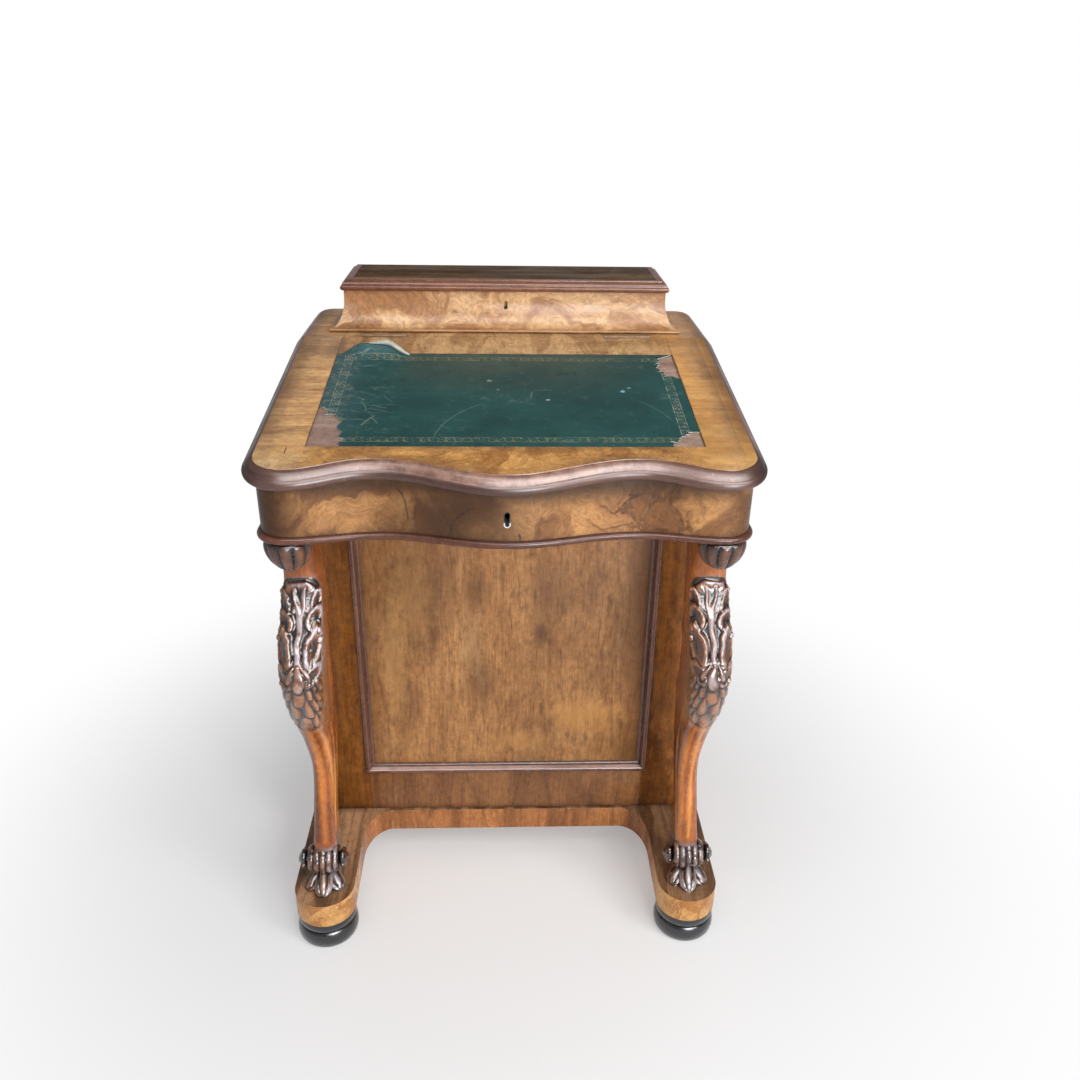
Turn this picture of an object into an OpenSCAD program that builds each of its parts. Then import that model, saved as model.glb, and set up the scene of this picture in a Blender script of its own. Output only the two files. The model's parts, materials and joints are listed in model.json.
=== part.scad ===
// Davenport desk: a sloping writing box on a drawer pedestal, carried in front
// by two carved cabriole supports that stand on the arms of a platform base.
// Millimetres. X runs to the sitter's right, the sitter faces +Y, Z is up.
// The origin is on the floor, under the middle of the desk.

/* [Writing slope] */
// Width of the top over its edge moulding
top_w = 550; // [500:1:620]
// Depth of the top from the middle of the bow to the back edge
top_d = 550; // [520:1:620]
// Depth of the fixed shelf behind the writing lid
shelf_d = 170; // [160:1:200]
// Slope of the writing lid in degrees
slope_deg = 7.4; // [5:0.1:12]
// Thickness of the lid and of the shelf
lid_t = 22; // [18:0.5:28]
// How far the hollows of the front lie behind its bow
dip = 34; // [10:1:44]
// Distance from the middle to the deepest point of each hollow
dip_x = 140; // [120:1:150]
// How far the shoulders of the front lie behind its bow
shoulder = 10; // [0:1:14]
// Radius of the top's front corners
corner_r = 45; // [32:1:55]
// Radius of the shelf's back corners
back_corner_r = 30; // [26:1:40]
// Width of the edge moulding
mould_w = 24; // [18:1:25]
// Overhang of the edge moulding past the slope box
overhang = 11; // [10:1:16]

/* [Leather] */
// Border between the leather and the edge moulding at each side
skiver_side = 39; // [30:1:70]
// Border between the leather and the moulding at its deepest hollow
skiver_front = 14; // [8:1:50]
// Distance from the hinge line to the leather
skiver_back = 58; // [40:1:70]
// Thickness of the leather
skiver_t = 1.2; // [0.8:0.1:1.4]
// Depth of the bed that the leather lies in
skiver_bed = 1.5; // [1.5:0.1:2.5]

/* [Slope box] */
// Height of the frieze at its bow
frieze_h = 67; // [55:0.5:80]
// Thickness of the frieze board at its hollows
frieze_t = 22; // [18:1:26]
// How far the frieze's bow lies behind the top's bow
frieze_back = 22; // [18:1:26]
// Depth of the frieze's hollows behind its bow
frieze_dip = 24; // [8:1:28]
// Radius of the frieze's corners
frieze_r = 28; // [20:1:34]
// Thickness of the cheeks and of the back
cheek_t = 14; // [10:1:18]
// Thickness of the slope box's bottom
bottom_t = 10; // [8:1:14]
// Height of the bead under the frieze
bead_h = 8.5; // [6:0.5:12]
// Projection of the bead
bead_out = 5; // [3:0.5:8]

/* [Stationery box] */
// Width of the stationery box at its foot
box_w = 467; // [420:1:470]
// Depth of the stationery box at its foot
box_d = 127.5; // [115:0.5:134]
// Height of the stationery box's body
box_h = 51; // [42:1:70]
// Flare of its hollow front and sides
flare = 19.5; // [12:0.5:24]
// Thickness of its walls at the neck
box_wall = 12; // [10:0.5:14]
// Thickness of its lid
box_lid_t = 14; // [12:0.5:18]
// Overhang of its lid past the neck
box_lid_out = 4; // [2:0.5:6]
// Width of the moulding round its lid
box_mould_w = 16; // [13:1:20]
// Distance from the back of the box to the back of the shelf
box_back = 25; // [24:1:30]
// Thickness of the dividers inside
divider_t = 5; // [4:0.5:8]
// Drop of the dividers below the neck
divider_drop = 6; // [3:1:15]

/* [Pedestal] */
// Height of the pedestal
ped_h = 543; // [480:1:600]
// Depth of the pedestal over its two frames
ped_d = 287; // [260:1:300]
// Distance from the pedestal's side to the slope box's side
ped_inset = 12; // [6:1:16]
// Distance from the pedestal's back to the back of the top
ped_back = 20; // [18:1:26]
// Thickness of the front and back frames
frame_t = 20; // [18:1:24]
// Width of the stiles
stile_w = 52; // [44:1:60]
// Height of the bottom rail
bottom_rail_h = 73; // [60:1:90]
// Height of the top rail
top_rail_h = 40; // [30:1:60]
// Thickness of the panels
panel_t = 8; // [6:0.5:9]
// Setback of a panel's face behind its frame
panel_back = 7; // [5:0.5:7.5]
// Depth of the grooves that hold the panels
groove = 8; // [6:0.5:12]
// Width of the panel moulding inside the frame
bolection_w = 7; // [5:0.5:10]
// Lap of the panel moulding over the frame
bolection_lap = 5; // [3:0.5:6]
// Thickness of the left side
side_t = 18; // [16:1:22]

/* [Drawers] */
// Thickness of the drawer rails
rail_h = 16; // [14:1:20]
// Depth of the drawer rails behind the side
rail_d = 60; // [40:1:80]
// Width of the posts beside the drawers
post_w = 8; // [7:0.5:12]
// Thickness of the drawer fronts
front_t = 20; // [18:1:22]
// Gap between the back of a drawer and the left side
drawer_back = 21; // [10:1:60]
// Thickness of the drawer sides
lining_t = 9; // [7:0.5:11]
// Thickness of the drawer bottoms
drawer_floor = 6; // [5:0.5:8]
// Thickness of the dummy fronts
dummy_t = 5; // [4:0.5:6]
// Gap round each drawer front
draw_gap = 0.8; // [0.5:0.1:1.2]
// Gap above the sides of a drawer
drawer_head = 3; // [2:0.5:6]
// Height of a drawer's bottom board above the lower edge of its sides
floor_up = 4; // [3:0.5:8]
// Width of the drawer runners
runner_w = 20; // [14:1:30]
// Height of the guides beside the drawers
guide_h = 14; // [8:1:20]
// Radius of the knobs
knob_r = 15; // [12:0.5:18]
// Projection of the knobs
knob_out = 23; // [20:1:28]
// Height of the inner drawers
inner_h = 50; // [40:1:56]
// Thickness of the inner case
inner_t = 6; // [5:0.5:8]
// Distance from the hinge line back to the inner case
inner_back = 8; // [6:1:20]
// Thickness of the inner drawers' fronts
inner_front_t = 9; // [6:0.5:12]
// Thickness of the inner drawers' sides
inner_wall = 5; // [4:0.5:7]
// Thickness of the inner drawers' bottoms
inner_floor = 4; // [3:0.5:6]
// Radius of the inner drawers' knobs
inner_knob_r = 6; // [4:0.5:8]

/* [Base] */
// Height of the bun feet
foot_h = 41; // [36:1:50]
// Radius of the bun feet
foot_r = 41; // [38:0.5:44]
// Thickness of the platform
plinth_t = 36; // [30:1:44]
// Width of each arm
arm_w = 80; // [76:1:88]
// How far the arms stand outside the top
arm_spread = 12.5; // [6:0.5:20]
// Distance from the top's bow to the front of the arms
arm_setback = 50; // [40:1:56]
// How far the platform stands out in front of the pedestal and behind it
plinth_lip = 5; // [3:0.5:8]
// Width of the hollow corners between the arms and the front
hollow_w = 38; // [24:1:60]
// Depth of the hollow corners between the arms and the front
hollow_d = 61; // [30:1:70]

/* [Front supports] */
// Width of a support at its knee
knee_w = 45; // [40:1:50]
// Height of the knee above the platform, as a share of the pedestal
knee_at = 0.675; // [0.6:0.005:0.72]
// Reach of the knee in front of the ankle
knee_reach = 82; // [60:1:90]
// Width of a support at its ankle
ankle_w = 27; // [24:1:34]
// Depth of a support at its ankle
ankle_d = 44; // [36:1:54]
// Height of the ankle above the platform, as a share of the pedestal
ankle_at = 0.31; // [0.26:0.005:0.36]
// Distance from the middle of the arm's round end back to the ankle's front
ankle_back = 25; // [15:1:32]
// Relief of the leaf carved on the knee
leaf_lift = 3.2; // [1:0.1:4]
// Length of the leaf
leaf_l = 199; // [160:1:205]
// Projection of the two cusps of the scroll at the back of the knee
cusp_out = 9; // [4:0.5:12]
// Half the height of each cusp
cusp_r = 13; // [10:0.5:18]
// Radius of the boss under the frieze corner
boss_r = 27; // [22:0.5:30]
// Height of the boss
boss_h = 40; // [30:1:42]
// Radius of the scroll foot
scroll_r = 20; // [16:0.5:23]
// Width of the scroll foot over its rosettes
scroll_w = 68; // [60:1:72]

/* [Brass work] */
// Radius of the writing lid's hinge knuckles
knuckle_r = 3.2; // [2.8:0.1:3.6]
// Radius of the hinge pins
pin_r = 1.5; // [1.2:0.1:1.8]
// Length of each writing lid hinge
hinge_l = 60; // [45:1:75]
// Distance from the middle to each writing lid hinge
hinge_x = 160; // [120:1:180]
// Thickness of the hinge leaves
leaf_t = 1.5; // [1:0.1:2]
// Height of the hinge leaves
leaf_h = 16; // [12:1:17]
// Width of the keyholes
key_w = 5; // [4.6:0.1:6]
// Height of the keyholes
key_h = 16; // [10:0.5:16]
// Wall of the keyhole liner
liner_t = 1.2; // [0.8:0.1:1.6]
// Height of the frieze keyhole's middle above the frieze's foot
key_z = 33; // [28:1:36]
// Travel of the lock bolts
bolt_travel = 6; // [4:0.5:7]

/* [Fits] */
// Gap between a board that moves and what it closes on
shut_gap = 0.3; // [0.2:0.05:0.5]
// Gap across the hinge line of the writing lid
hinge_gap = 0.8; // [0.6:0.1:1.2]
// Radial clearance of the hinge pins
pin_fit = 0.05; // [0.02:0.01:0.09]
// Clearance of a lock bolt in its channel
bolt_fit = 0.2; // [0.15:0.05:0.3]
// Clearance of a panel in its grooves
groove_fit = 0.2; // [0.1:0.05:0.4]
// Gap round the inner drawers
inner_gap = 0.5; // [0.3:0.1:1]
// End play of the hinge knuckles
knuckle_play = 0.3; // [0.2:0.05:0.5]

/* [Hidden] */

WALNUT = [0.45, 0.24, 0.10];
BURR = [0.62, 0.36, 0.15];
RED_WALNUT = [0.33, 0.15, 0.09];
EBONISED = [0.06, 0.06, 0.07];
LINING = [0.68, 0.50, 0.30];
LEATHER = [0.07, 0.17, 0.14];
BRASS = [0.72, 0.56, 0.28];
STEEL = [0.45, 0.44, 0.42];

// Heights, from the floor up
z_plinth = foot_h;
z_arm = foot_h + plinth_t;
z_box = z_arm + ped_h;

// Depths, from the bow of the top to its back edge
y_front = -top_d / 2;
y_back = top_d / 2;
y_hinge = y_back - shelf_d;
y_frieze = y_front + frieze_back;
y_frieze_in = y_frieze + frieze_dip + frieze_t;
y_box_back = y_back - overhang;
y_ped_back = y_back - ped_back;
y_ped = y_ped_back - ped_d;

// Half widths
top_hw = top_w / 2;
frieze_hw = top_hw - overhang;
well_hw = frieze_hw - cheek_t;
ped_hw = frieze_hw - ped_inset;
arm_hw = top_hw + arm_spread;
arm_x = arm_hw - arm_w / 2;

// The lid's plane: height of its underside over a depth, and of its top
slope = tan(slope_deg);
function lid_under(y) = z_box + frieze_h + (y - y_frieze) * slope;
function lid_top(y) = lid_under(y) + lid_t;
z_shelf_under = lid_under(y_hinge);
z_shelf = z_shelf_under + lid_t;

/* ---- outline of a serpentine front ----
Each point is [x, y, nx, ny]: a place on the edge and the unit vector inward.
The front runs in half cosine waves from the bow to the hollows and out to
the shoulders, and a quarter circle turns each shoulder into the side. */
function half_wave(t) = (1 - cos(180 * t)) / 2;
function wave_y(x, y0, dep, dx, sh, sx) =
    abs(x) <= dx ? y0 + dep * half_wave(abs(x) / dx)
    : y0 + dep - (dep - sh) * half_wave((abs(x) - dx) / (sx - dx));
function wave_slope(x, dep, dx, sh, sx) =
    sign(x) * (abs(x) <= dx ? dep * sin(180 * abs(x) / dx) * PI / (2 * dx)
    : -(dep - sh) * sin(180 * (abs(x) - dx) / (sx - dx)) * PI / (2 * (sx - dx)));
function wave_point(x, y0, dep, dx, sh, sx) =
    let (k = wave_slope(x, dep, dx, sh, sx), n = sqrt(1 + k * k))
    [x, wave_y(x, y0, dep, dx, sh, sx), -k / n, 1 / n];
function corner_points(cx, cy, r, a0, a1, n) = [
    for (i = [0 : n])
        let (a = a0 + (a1 - a0) * i / n)
        [cx + r * cos(a), cy + r * sin(a), -cos(a), -sin(a)]
];
function serpentine(hw, y_rear, y0, dep, dx, sh, r, n) =
    let (sx = hw - r, cy = y0 + sh + r)
    concat(
        [[-hw, y_rear, 1, 0]],
        corner_points(-sx, cy, r, 180, 270, 6),
        [for (i = [1 : n - 1]) wave_point(-sx + 2 * sx * i / n, y0, dep, dx, sh, sx)],
        corner_points(sx, cy, r, 270, 360, 6),
        [[hw, y_rear, -1, 0]]
    );
function inset(path, d) = [for (p = path) [p[0] + p[2] * d, p[1] + p[3] * d]];

wave_points = 40;
lid_edge = serpentine(top_hw, y_hinge - hinge_gap / 2, y_front, dip, dip_x, shoulder, corner_r, wave_points);
frieze_edge =
    serpentine(frieze_hw, y_box_back, y_frieze, frieze_dip, dip_x, shoulder, frieze_r, wave_points);
shelf_edge = concat(
    [[top_hw, y_hinge + hinge_gap / 2, -1, 0]],
    corner_points(top_hw - back_corner_r, y_back - back_corner_r, back_corner_r, 0, 90, 6),
    corner_points(-top_hw + back_corner_r, y_back - back_corner_r, back_corner_r, 90, 180, 6),
    [[-top_hw, y_hinge + hinge_gap / 2, 1, 0]]
);

/* ---- a moulding run along an outline ----
section is a closed list of [distance in from the edge, height], and the
moulding climbs with y at the given slope from height z0 at y = 0. */
module run_moulding(path, section, z0, k) {
    m = len(section);
    n = len(path);
    points = [
        for (p = path, s = section)
            let (y = p[1] + p[3] * s[0])
            [p[0] + p[2] * s[0], y, z0 + k * y + s[1]]
    ];
    sides = [
        for (i = [0 : n - 2], j = [0 : m - 1])
            let (a = i * m + j, b = i * m + (j + 1) % m, c = b + m, d = a + m)
            each [[a, c, b], [a, d, c]]
    ];
    ends = [[for (j = [0 : m - 1]) j], [for (j = [m - 1 : -1 : 0]) (n - 1) * m + j]];
    polyhedron(points, concat(sides, ends));
}

// Section of the top's edge: a flat band, a small step and a round nosing
band_w = mould_w / 2;
nose_h = (lid_t - 3) / 2;
edge_section = concat(
    [[mould_w, 0], [band_w, 0], [band_w, -1.5]],
    [for (a = [75 : -25 : -75]) [band_w * 0.75 * (1 - cos(a)), -lid_t / 2 + nose_h * sin(a)]],
    [[band_w, 1 - lid_t], [band_w, -lid_t], [mould_w, -lid_t]]
);
bead_section = [for (a = [90 : -22.5 : -90]) [-bead_out * cos(a), bead_h / 2 * (1 + sin(a))]];

// A flat piece drawn on plan as [x, y], between two heights
module board(points, z0, z1) {
    translate([0, 0, z0]) linear_extrude(z1 - z0) polygon(points);
}

// A side profile [y, z] carried across from x0 to x1
module across(points, x0, x1) {
    translate([x0, 0, 0]) rotate([90, 0, 90]) linear_extrude(x1 - x0) polygon(points);
}

// A front profile [x, z] carried back from y0 to y1
module along(points, y0, y1) {
    translate([0, y1, 0]) rotate([90, 0, 0]) linear_extrude(y1 - y0) polygon(points);
}

// A block from its lowest to its highest corner
module block(a, b) {
    translate(a) cube([b[0] - a[0], b[1] - a[1], b[2] - a[2]]);
}

module both_sides() {
    children();
    mirror([1, 0, 0]) children();
}

/* ---- base ---- */
foot_y = [y_front + arm_setback + foot_r - 1, y_ped_back + plinth_lip - foot_r];
// A rounded ring of the turning, from height z0 to z1
function torus(r, z0, z1, step) = [
    for (a = [-60 : step : 60])
        [r - (z1 - z0) * 0.3 * (1 - cos(a)), (z0 + z1) / 2 + (z1 - z0) / 2 * sin(a) / sin(60)]
];

module bun_foot() {
    seat_r = foot_r * 0.86;
    neck_z = foot_h * 0.62;
    rotate_extrude($fn = 72) polygon(concat(
        [[0, 0]],
        torus(foot_r, 0, neck_z, 15),
        torus(foot_r * 0.96, neck_z, foot_h, 20),
        [[seat_r, foot_h], [0, foot_h]]
    ));
}

module bun_feet() {
    color(EBONISED) both_sides() for (y = foot_y) translate([arm_x, y, 0]) bun_foot();
}

arm_front = y_front + arm_setback;
plinth_rear = y_ped_back + plinth_lip;
plinth_front = y_ped - plinth_lip;
arm_in = arm_hw - arm_w;
module plinth_board() {
    color(WALNUT) block([-arm_in, plinth_front, z_plinth], [arm_in, plinth_rear, z_arm]);
}

// One arm: round at its front end, with the hollow corner that joins it to the front
module plinth_arm() {
    r = arm_w / 2;
    board(concat(
        [[arm_hw, plinth_rear], [arm_in, plinth_rear], [arm_in, plinth_front]],
        [for (a = [90 : -10 : 0]) [arm_in - hollow_w * (1 - cos(a)), plinth_front - hollow_d * (1 - sin(a))]],
        [for (a = [180 : 10 : 360]) [arm_x + r * cos(a), arm_front + r + r * sin(a)]]
    ), z_plinth, z_arm);
}

module plinth_arm_left() {
    color(WALNUT) mirror([1, 0, 0]) plinth_arm();
}

module plinth_arm_right() {
    color(WALNUT) plinth_arm();
}

/* ---- panelled frames of the pedestal, drawn for the front ---- */
frame_in = ped_hw - stile_w;
z_panel_0 = z_arm + bottom_rail_h;
z_panel_1 = z_box - top_rail_h;
panel_front = y_ped + panel_back;

module panel_space(extra) {
    block([-frame_in - groove - extra, panel_front - extra, z_panel_0 - groove - extra],
        [frame_in + groove + extra, panel_front + panel_t + extra, z_panel_1 + groove + extra]);
}

module stiles() {
    difference() {
        both_sides() block([frame_in, y_ped, z_arm], [ped_hw, y_ped + frame_t, z_box]);
        panel_space(groove_fit);
    }
}

module rails() {
    difference() {
        union() {
            block([-frame_in, y_ped, z_arm], [frame_in, y_ped + frame_t, z_panel_0]);
            block([-frame_in, y_ped, z_panel_1], [frame_in, y_ped + frame_t, z_box]);
        }
        panel_space(groove_fit);
    }
}

// Section of the bolection moulding: [distance in from the frame's edge, height over the frame]
bolection_crown = 3.6;
bolection_section = let (w = bolection_w, lap = bolection_lap, crown = bolection_crown) concat(
    [[w, -panel_back], [w, 1 - panel_back], [w * 0.8, -panel_back * 0.62], [w * 0.45, -panel_back * 0.25]],
    [for (a = [20 : 20 : 160]) [-lap / 2 + lap * 0.62 * cos(a), crown - 1.4 + 1.6 * sin(a)]],
    [[-lap, crown - 2], [-lap, 0], [0, 0], [0, -panel_back]]
);

// Runs round the frame's opening, mitred at its corners
module panel_moulding() {
    corners = [[-1, 0], [1, 0], [1, 1], [-1, 1]];
    m = len(bolection_section);
    points = [
        for (c = corners, p = bolection_section) [
            c[0] * (frame_in - p[0]),
            y_ped - p[1],
            c[1] == 0 ? z_panel_0 + p[0] : z_panel_1 - p[0]
        ]
    ];
    polyhedron(points, [
        for (i = [0 : 3], j = [0 : m - 1])
            let (k = (i + 1) % 4, b = (j + 1) % m)
            each [[i * m + j, k * m + b, i * m + b], [i * m + j, k * m + j, k * m + b]]
    ]);
}

module to_back() {
    translate([0, y_ped + y_ped_back, 0]) mirror([0, 1, 0]) children();
}

module front_stiles() {
    color(WALNUT) stiles();
}

module front_rails() {
    color(WALNUT) rails();
}

module front_panel() {
    color(WALNUT) panel_space(0);
}

module front_panel_moulding() {
    color(RED_WALNUT) panel_moulding();
}

module back_stiles() {
    color(WALNUT) to_back() stiles();
}

module back_rails() {
    color(WALNUT) to_back() rails();
}

module back_panel() {
    color(WALNUT) to_back() panel_space(0);
}

module back_panel_moulding() {
    color(RED_WALNUT) to_back() panel_moulding();
}

/* ---- pedestal sides and drawers ---- */
levels = 4;
opening_h = (ped_h - (levels + 1) * rail_h) / levels;
y_in_0 = y_ped + frame_t;
y_in_1 = y_ped_back - frame_t;
y_draw_0 = y_in_0 + post_w;
y_draw_1 = y_in_1 - post_w;
x_side_in = -ped_hw + side_t;
function rail_z(i) = z_arm + i * (opening_h + rail_h);
function draw_z(i) = rail_z(i) + rail_h;

module left_side() {
    color(WALNUT) difference() {
        block([-ped_hw, y_in_0, z_arm], [x_side_in, y_in_1, z_box]);
        for (i = [0 : levels - 1])
            block([-ped_hw - 1, y_draw_0, draw_z(i)], [-ped_hw + dummy_t, y_draw_1, draw_z(i) + opening_h]);
    }
}

module dummy_fronts() {
    color(BURR) for (i = [0 : levels - 1])
        block([-ped_hw, y_draw_0 + draw_gap, draw_z(i) + draw_gap],
            [-ped_hw + dummy_t, y_draw_1 - draw_gap, draw_z(i) + opening_h - draw_gap]);
}

// A turned knob, standing out along +X from its seat at the origin
module knob(r, out) {
    rotate([0, 90, 0]) rotate_extrude($fn = 48) polygon(concat(
        [[0, 0], [r * 0.72, 0], [r * 0.72, out * 0.1], [r * 0.42, out * 0.2], [r * 0.42, out * 0.4]],
        [for (a = [-40 : 10 : 90]) [r * cos(a), out * 0.68 + out * 0.32 * sin(a)]]
    ));
}

knob_y = [y_draw_0 + (y_draw_1 - y_draw_0) / 5, y_draw_1 - (y_draw_1 - y_draw_0) / 5];
module knob_pair(i) {
    for (y = knob_y) translate([ped_hw, y, draw_z(i) + opening_h / 2]) knob(knob_r, knob_out);
}

module dummy_knobs() {
    color(WALNUT) mirror([1, 0, 0]) for (i = [0 : levels - 1]) knob_pair(i);
}

module right_posts() {
    color(WALNUT) {
        block([ped_hw - rail_d, y_in_0, z_arm], [ped_hw, y_draw_0, z_box]);
        block([ped_hw - rail_d, y_draw_1, z_arm], [ped_hw, y_in_1, z_box]);
    }
}

module drawer_rails() {
    color(WALNUT) for (i = [0 : levels])
        block([ped_hw - rail_d, y_draw_0, rail_z(i)], [ped_hw, y_draw_1, rail_z(i) + rail_h]);
}

// Runners carry the drawer above, stop the one below from tipping and guide its sides
module runner(i) {
    guide = i < levels ? guide_h : 0;
    across([
        [y_in_0, rail_z(i)], [y_in_0 + runner_w, rail_z(i)], [y_in_0 + runner_w, draw_z(i)],
        [y_draw_0, draw_z(i)], [y_draw_0, draw_z(i) + guide], [y_in_0, draw_z(i) + guide]
    ], x_side_in, ped_hw - rail_d);
}

module drawer_runners() {
    color(LINING) for (i = [0 : levels]) {
        runner(i);
        to_back() runner(i);
    }
}

// Drawer i is 0 at the bottom. Its front closes flush with the side.
module drawer_front(i) {
    color(BURR) {
        block([ped_hw - front_t, y_draw_0 + draw_gap, draw_z(i) + draw_gap],
            [ped_hw, y_draw_1 - draw_gap, draw_z(i) + opening_h - draw_gap]);
        knob_pair(i);
    }
}

module drawer_box(i) {
    x0 = x_side_in + drawer_back;
    x1 = ped_hw - front_t;
    y0 = y_draw_0 + draw_gap;
    y1 = y_draw_1 - draw_gap;
    z0 = draw_z(i) + shut_gap;
    z1 = draw_z(i) + opening_h - drawer_head;
    z_floor = z0 + floor_up;
    color(LINING) {
        block([x0, y0, z0], [x1, y0 + lining_t, z1]);
        block([x0, y1 - lining_t, z0], [x1, y1, z1]);
        block([x0, y0 + lining_t, z0], [x0 + lining_t, y1 - lining_t, z1]);
        block([x0 + lining_t, y0 + lining_t, z_floor], [x1, y1 - lining_t, z_floor + drawer_floor]);
    }
}

/* ---- cabriole supports, drawn for the right side ---- */
leg_y = arm_front + arm_w / 2;
ankle_y = leg_y + ankle_back;
top_x = frieze_hw - knee_w / 2 - 6;
leg_top_y = y_frieze + shoulder + 2 * boss_r - 4;
z_knee = z_arm + ped_h * knee_at;
z_ankle = z_arm + ped_h * ankle_at;
z_carve = z_box - boss_h;
z_roll_top = z_arm + 2.2 * scroll_r;

// Each station is [height, reach in front of the ankle as a share of the knee's,
// reach behind it as a share of the ankle's depth, width, lean towards the arm's middle]
leg_stations = [
    [z_arm, 0.21, -0.07, ankle_w * 1.5, 1],
    [z_roll_top, 0.26, -0.14, ankle_w * 1.2, 0.9],
    [(z_roll_top + z_ankle) / 2, 0.15, -0.11, ankle_w, 0.6],
    [z_ankle, 0, 0.18, ankle_w * 1.03, 0.4],
    [(2 * z_ankle + z_knee) / 3, 0.26, 0.09, (ankle_w + knee_w) / 2, 0.35],
    [(z_ankle + 2 * z_knee) / 3, 0.77, -0.14, knee_w * 0.94, 0.3],
    [z_knee, 1, -0.41, knee_w, 0.25],
    [(z_knee * 1.4 + z_carve) / 2.4, 0.62, -0.32, knee_w, 0.15],
    [(z_knee * 0.4 + z_carve) / 1.4, 0.3, -0.18, knee_w * 0.96, 0.1],
    [z_carve, 0.36, 0, knee_w * 0.94, 0.05],
    [z_box, (ankle_y - leg_top_y) / knee_reach, 0.36, knee_w * 0.98, 0]
];

// Smooth curve through column c of the stations at place t, counted in stations
function station(i, c) = leg_stations[max(0, min(len(leg_stations) - 1, i))][c];
function along_leg(t, c) =
    let (
        i = floor(t), u = t - i,
        a = station(i - 1, c), b = station(i, c), d = station(i + 1, c), e = station(i + 2, c)
    )
    b + u * (d - a) / 2 + u * u * (a - 2.5 * b + 2 * d - e / 2)
    + u * u * u * (1.5 * b - a / 2 - 1.5 * d + e / 2);

// The scroll behind the knee ends above and below in a rounded cusp
z_cusps = [z_knee - 0.41 * leaf_l, z_knee + 0.085 * leaf_l];
function cusp(z) = cusp_out * max([for (c = z_cusps) max(0, 1 - pow((z - c) / cusp_r, 2))]);

// The knee's leaf hangs from below the boss: a middle rib and lobes that climb towards it.
// across runs from -1 to 1 round the front half of the section.
leaf_lobes = 5;
z_leaf_1 = z_carve - 31;
function leaf_relief(z, across) =
    let (
        h = 1 - (z_leaf_1 - z) / leaf_l, u = abs(across),
        half = h <= 0 || h >= 1 ? 0 : 0.88 * sqrt(sin(180 * h)),
        rib = max(0, 1 - u / 0.2), lobe = 0.5 + 0.5 * cos(360 * (leaf_lobes * h + 0.6 * u))
    )
    u >= half ? 0 : leaf_lift * min(1, 4 * (half - u)) * (0.3 + 0.7 * max(rib, lobe * min(1, u / 0.25)));

// Section: a rounded front, widest a third of the way back, and a squarer back
leg_sides = 28;
leg_places = concat(
    [for (t = [0 : 0.3 : 4.2]) t], [for (t = [4.5 : 0.14 : 9.4]) t], [for (t = [9.6 : 0.2 : 10]) t]
);
function leg_ring(t) =
    let (
        z = along_leg(t, 0), hw = along_leg(t, 3) / 2,
        front = ankle_y - knee_reach * along_leg(t, 1),
        back = ankle_y + ankle_d * (1 + along_leg(t, 2)) + cusp(z),
        x = top_x + (arm_x - top_x) * along_leg(t, 4), widest = front + 0.34 * (back - front)
    )
    [for (j = [0 : leg_sides - 1])
        let (
            a = 360 * (j + 0.5) / leg_sides, c = cos(a), s = sin(a), p = s < 0 ? 0.8 : 0.45,
            grow = s < 0 ? leaf_relief(z, (a - 270) / 90) : 0,
            reach = s < 0 ? widest - front : back - widest
        )
        [x + (hw + grow) * sign(c) * pow(abs(c), p), widest + (reach + grow) * sign(s) * pow(abs(s), p), z]
    ];

module stack_rings(rings) {
    m = len(rings[0]);
    n = len(rings);
    polyhedron([for (r = rings, p = r) p], concat(
        [[for (j = [0 : m - 1]) j]],
        [for (i = [0 : n - 2], j = [0 : m - 1])
            let (a = i * m + j, b = i * m + (j + 1) % m, c = b + m, d = a + m)
            each [[a, c, b], [a, d, c]]],
        [[for (j = [m - 1 : -1 : 0]) (n - 1) * m + j]]
    ));
}

// A boss hangs like a bud under the frieze corner, just in front of its support,
// cut in rounded gadroons
gadroons = 10;
module boss() {
    profile = [[0, 0.16], [0.1, 0.46], [0.28, 0.74], [0.52, 0.93], [0.74, 1], [0.9, 0.97], [1, 0.88]];
    translate([top_x, leg_top_y - shut_gap - boss_r, 0]) stack_rings([
        for (p = profile) [
            for (j = [0 : gadroons * 4 - 1])
                let (a = 90 * j / gadroons, r = boss_r * p[1] * (1 - 0.1 * abs(cos(a * gadroons / 2))))
                [r * cos(a), r * sin(a), z_box - boss_h * (1 - p[0])]
        ]
    ]);
}

// The scroll foot: a roll across the arm with a rosette at each end, on a leaf that runs forward
roll_y = leg_y + ankle_back / 2;
roll_z = z_arm + scroll_r * 1.9;
module scroll_foot() {
    toe_y = roll_y - scroll_r * 1.8;
    heel_y = roll_y + scroll_r;
    translate([arm_x, roll_y, roll_z]) rotate([0, 90, 0]) {
        cylinder(r = scroll_r, h = scroll_w * 0.64, center = true, $fn = 40);
        cylinder(r = scroll_r * 0.7, h = scroll_w * 0.86, center = true, $fn = 36);
        cylinder(r = scroll_r * 0.42, h = scroll_w, center = true, $fn = 30);
    }
    across([
        [heel_y, z_arm], [toe_y + 2, z_arm], [toe_y, z_arm + scroll_r / 4],
        [toe_y + scroll_r * 0.6, z_arm + scroll_r * 0.7],
        [roll_y - scroll_r * 0.7, z_arm + scroll_r * 1.3], [roll_y, roll_z], [heel_y, roll_z]
    ], arm_x - scroll_w / 4, arm_x + scroll_w / 4);
}

module leg() {
    stack_rings([for (t = leg_places) leg_ring(t)]);
    scroll_foot();
}

module leg_left() {
    color(WALNUT) mirror([1, 0, 0]) leg();
}

module leg_right() {
    color(WALNUT) leg();
}

module bosses() {
    color(RED_WALNUT) both_sides() boss();
}

/* ---- slope box ---- */
key_mid = z_box + key_z;
lock_w = 36;
lock_h = 34;
lock_d = 12;
lock_y = y_frieze_in - lock_d;
lock_top = lid_under(lock_y) - 1;

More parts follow.
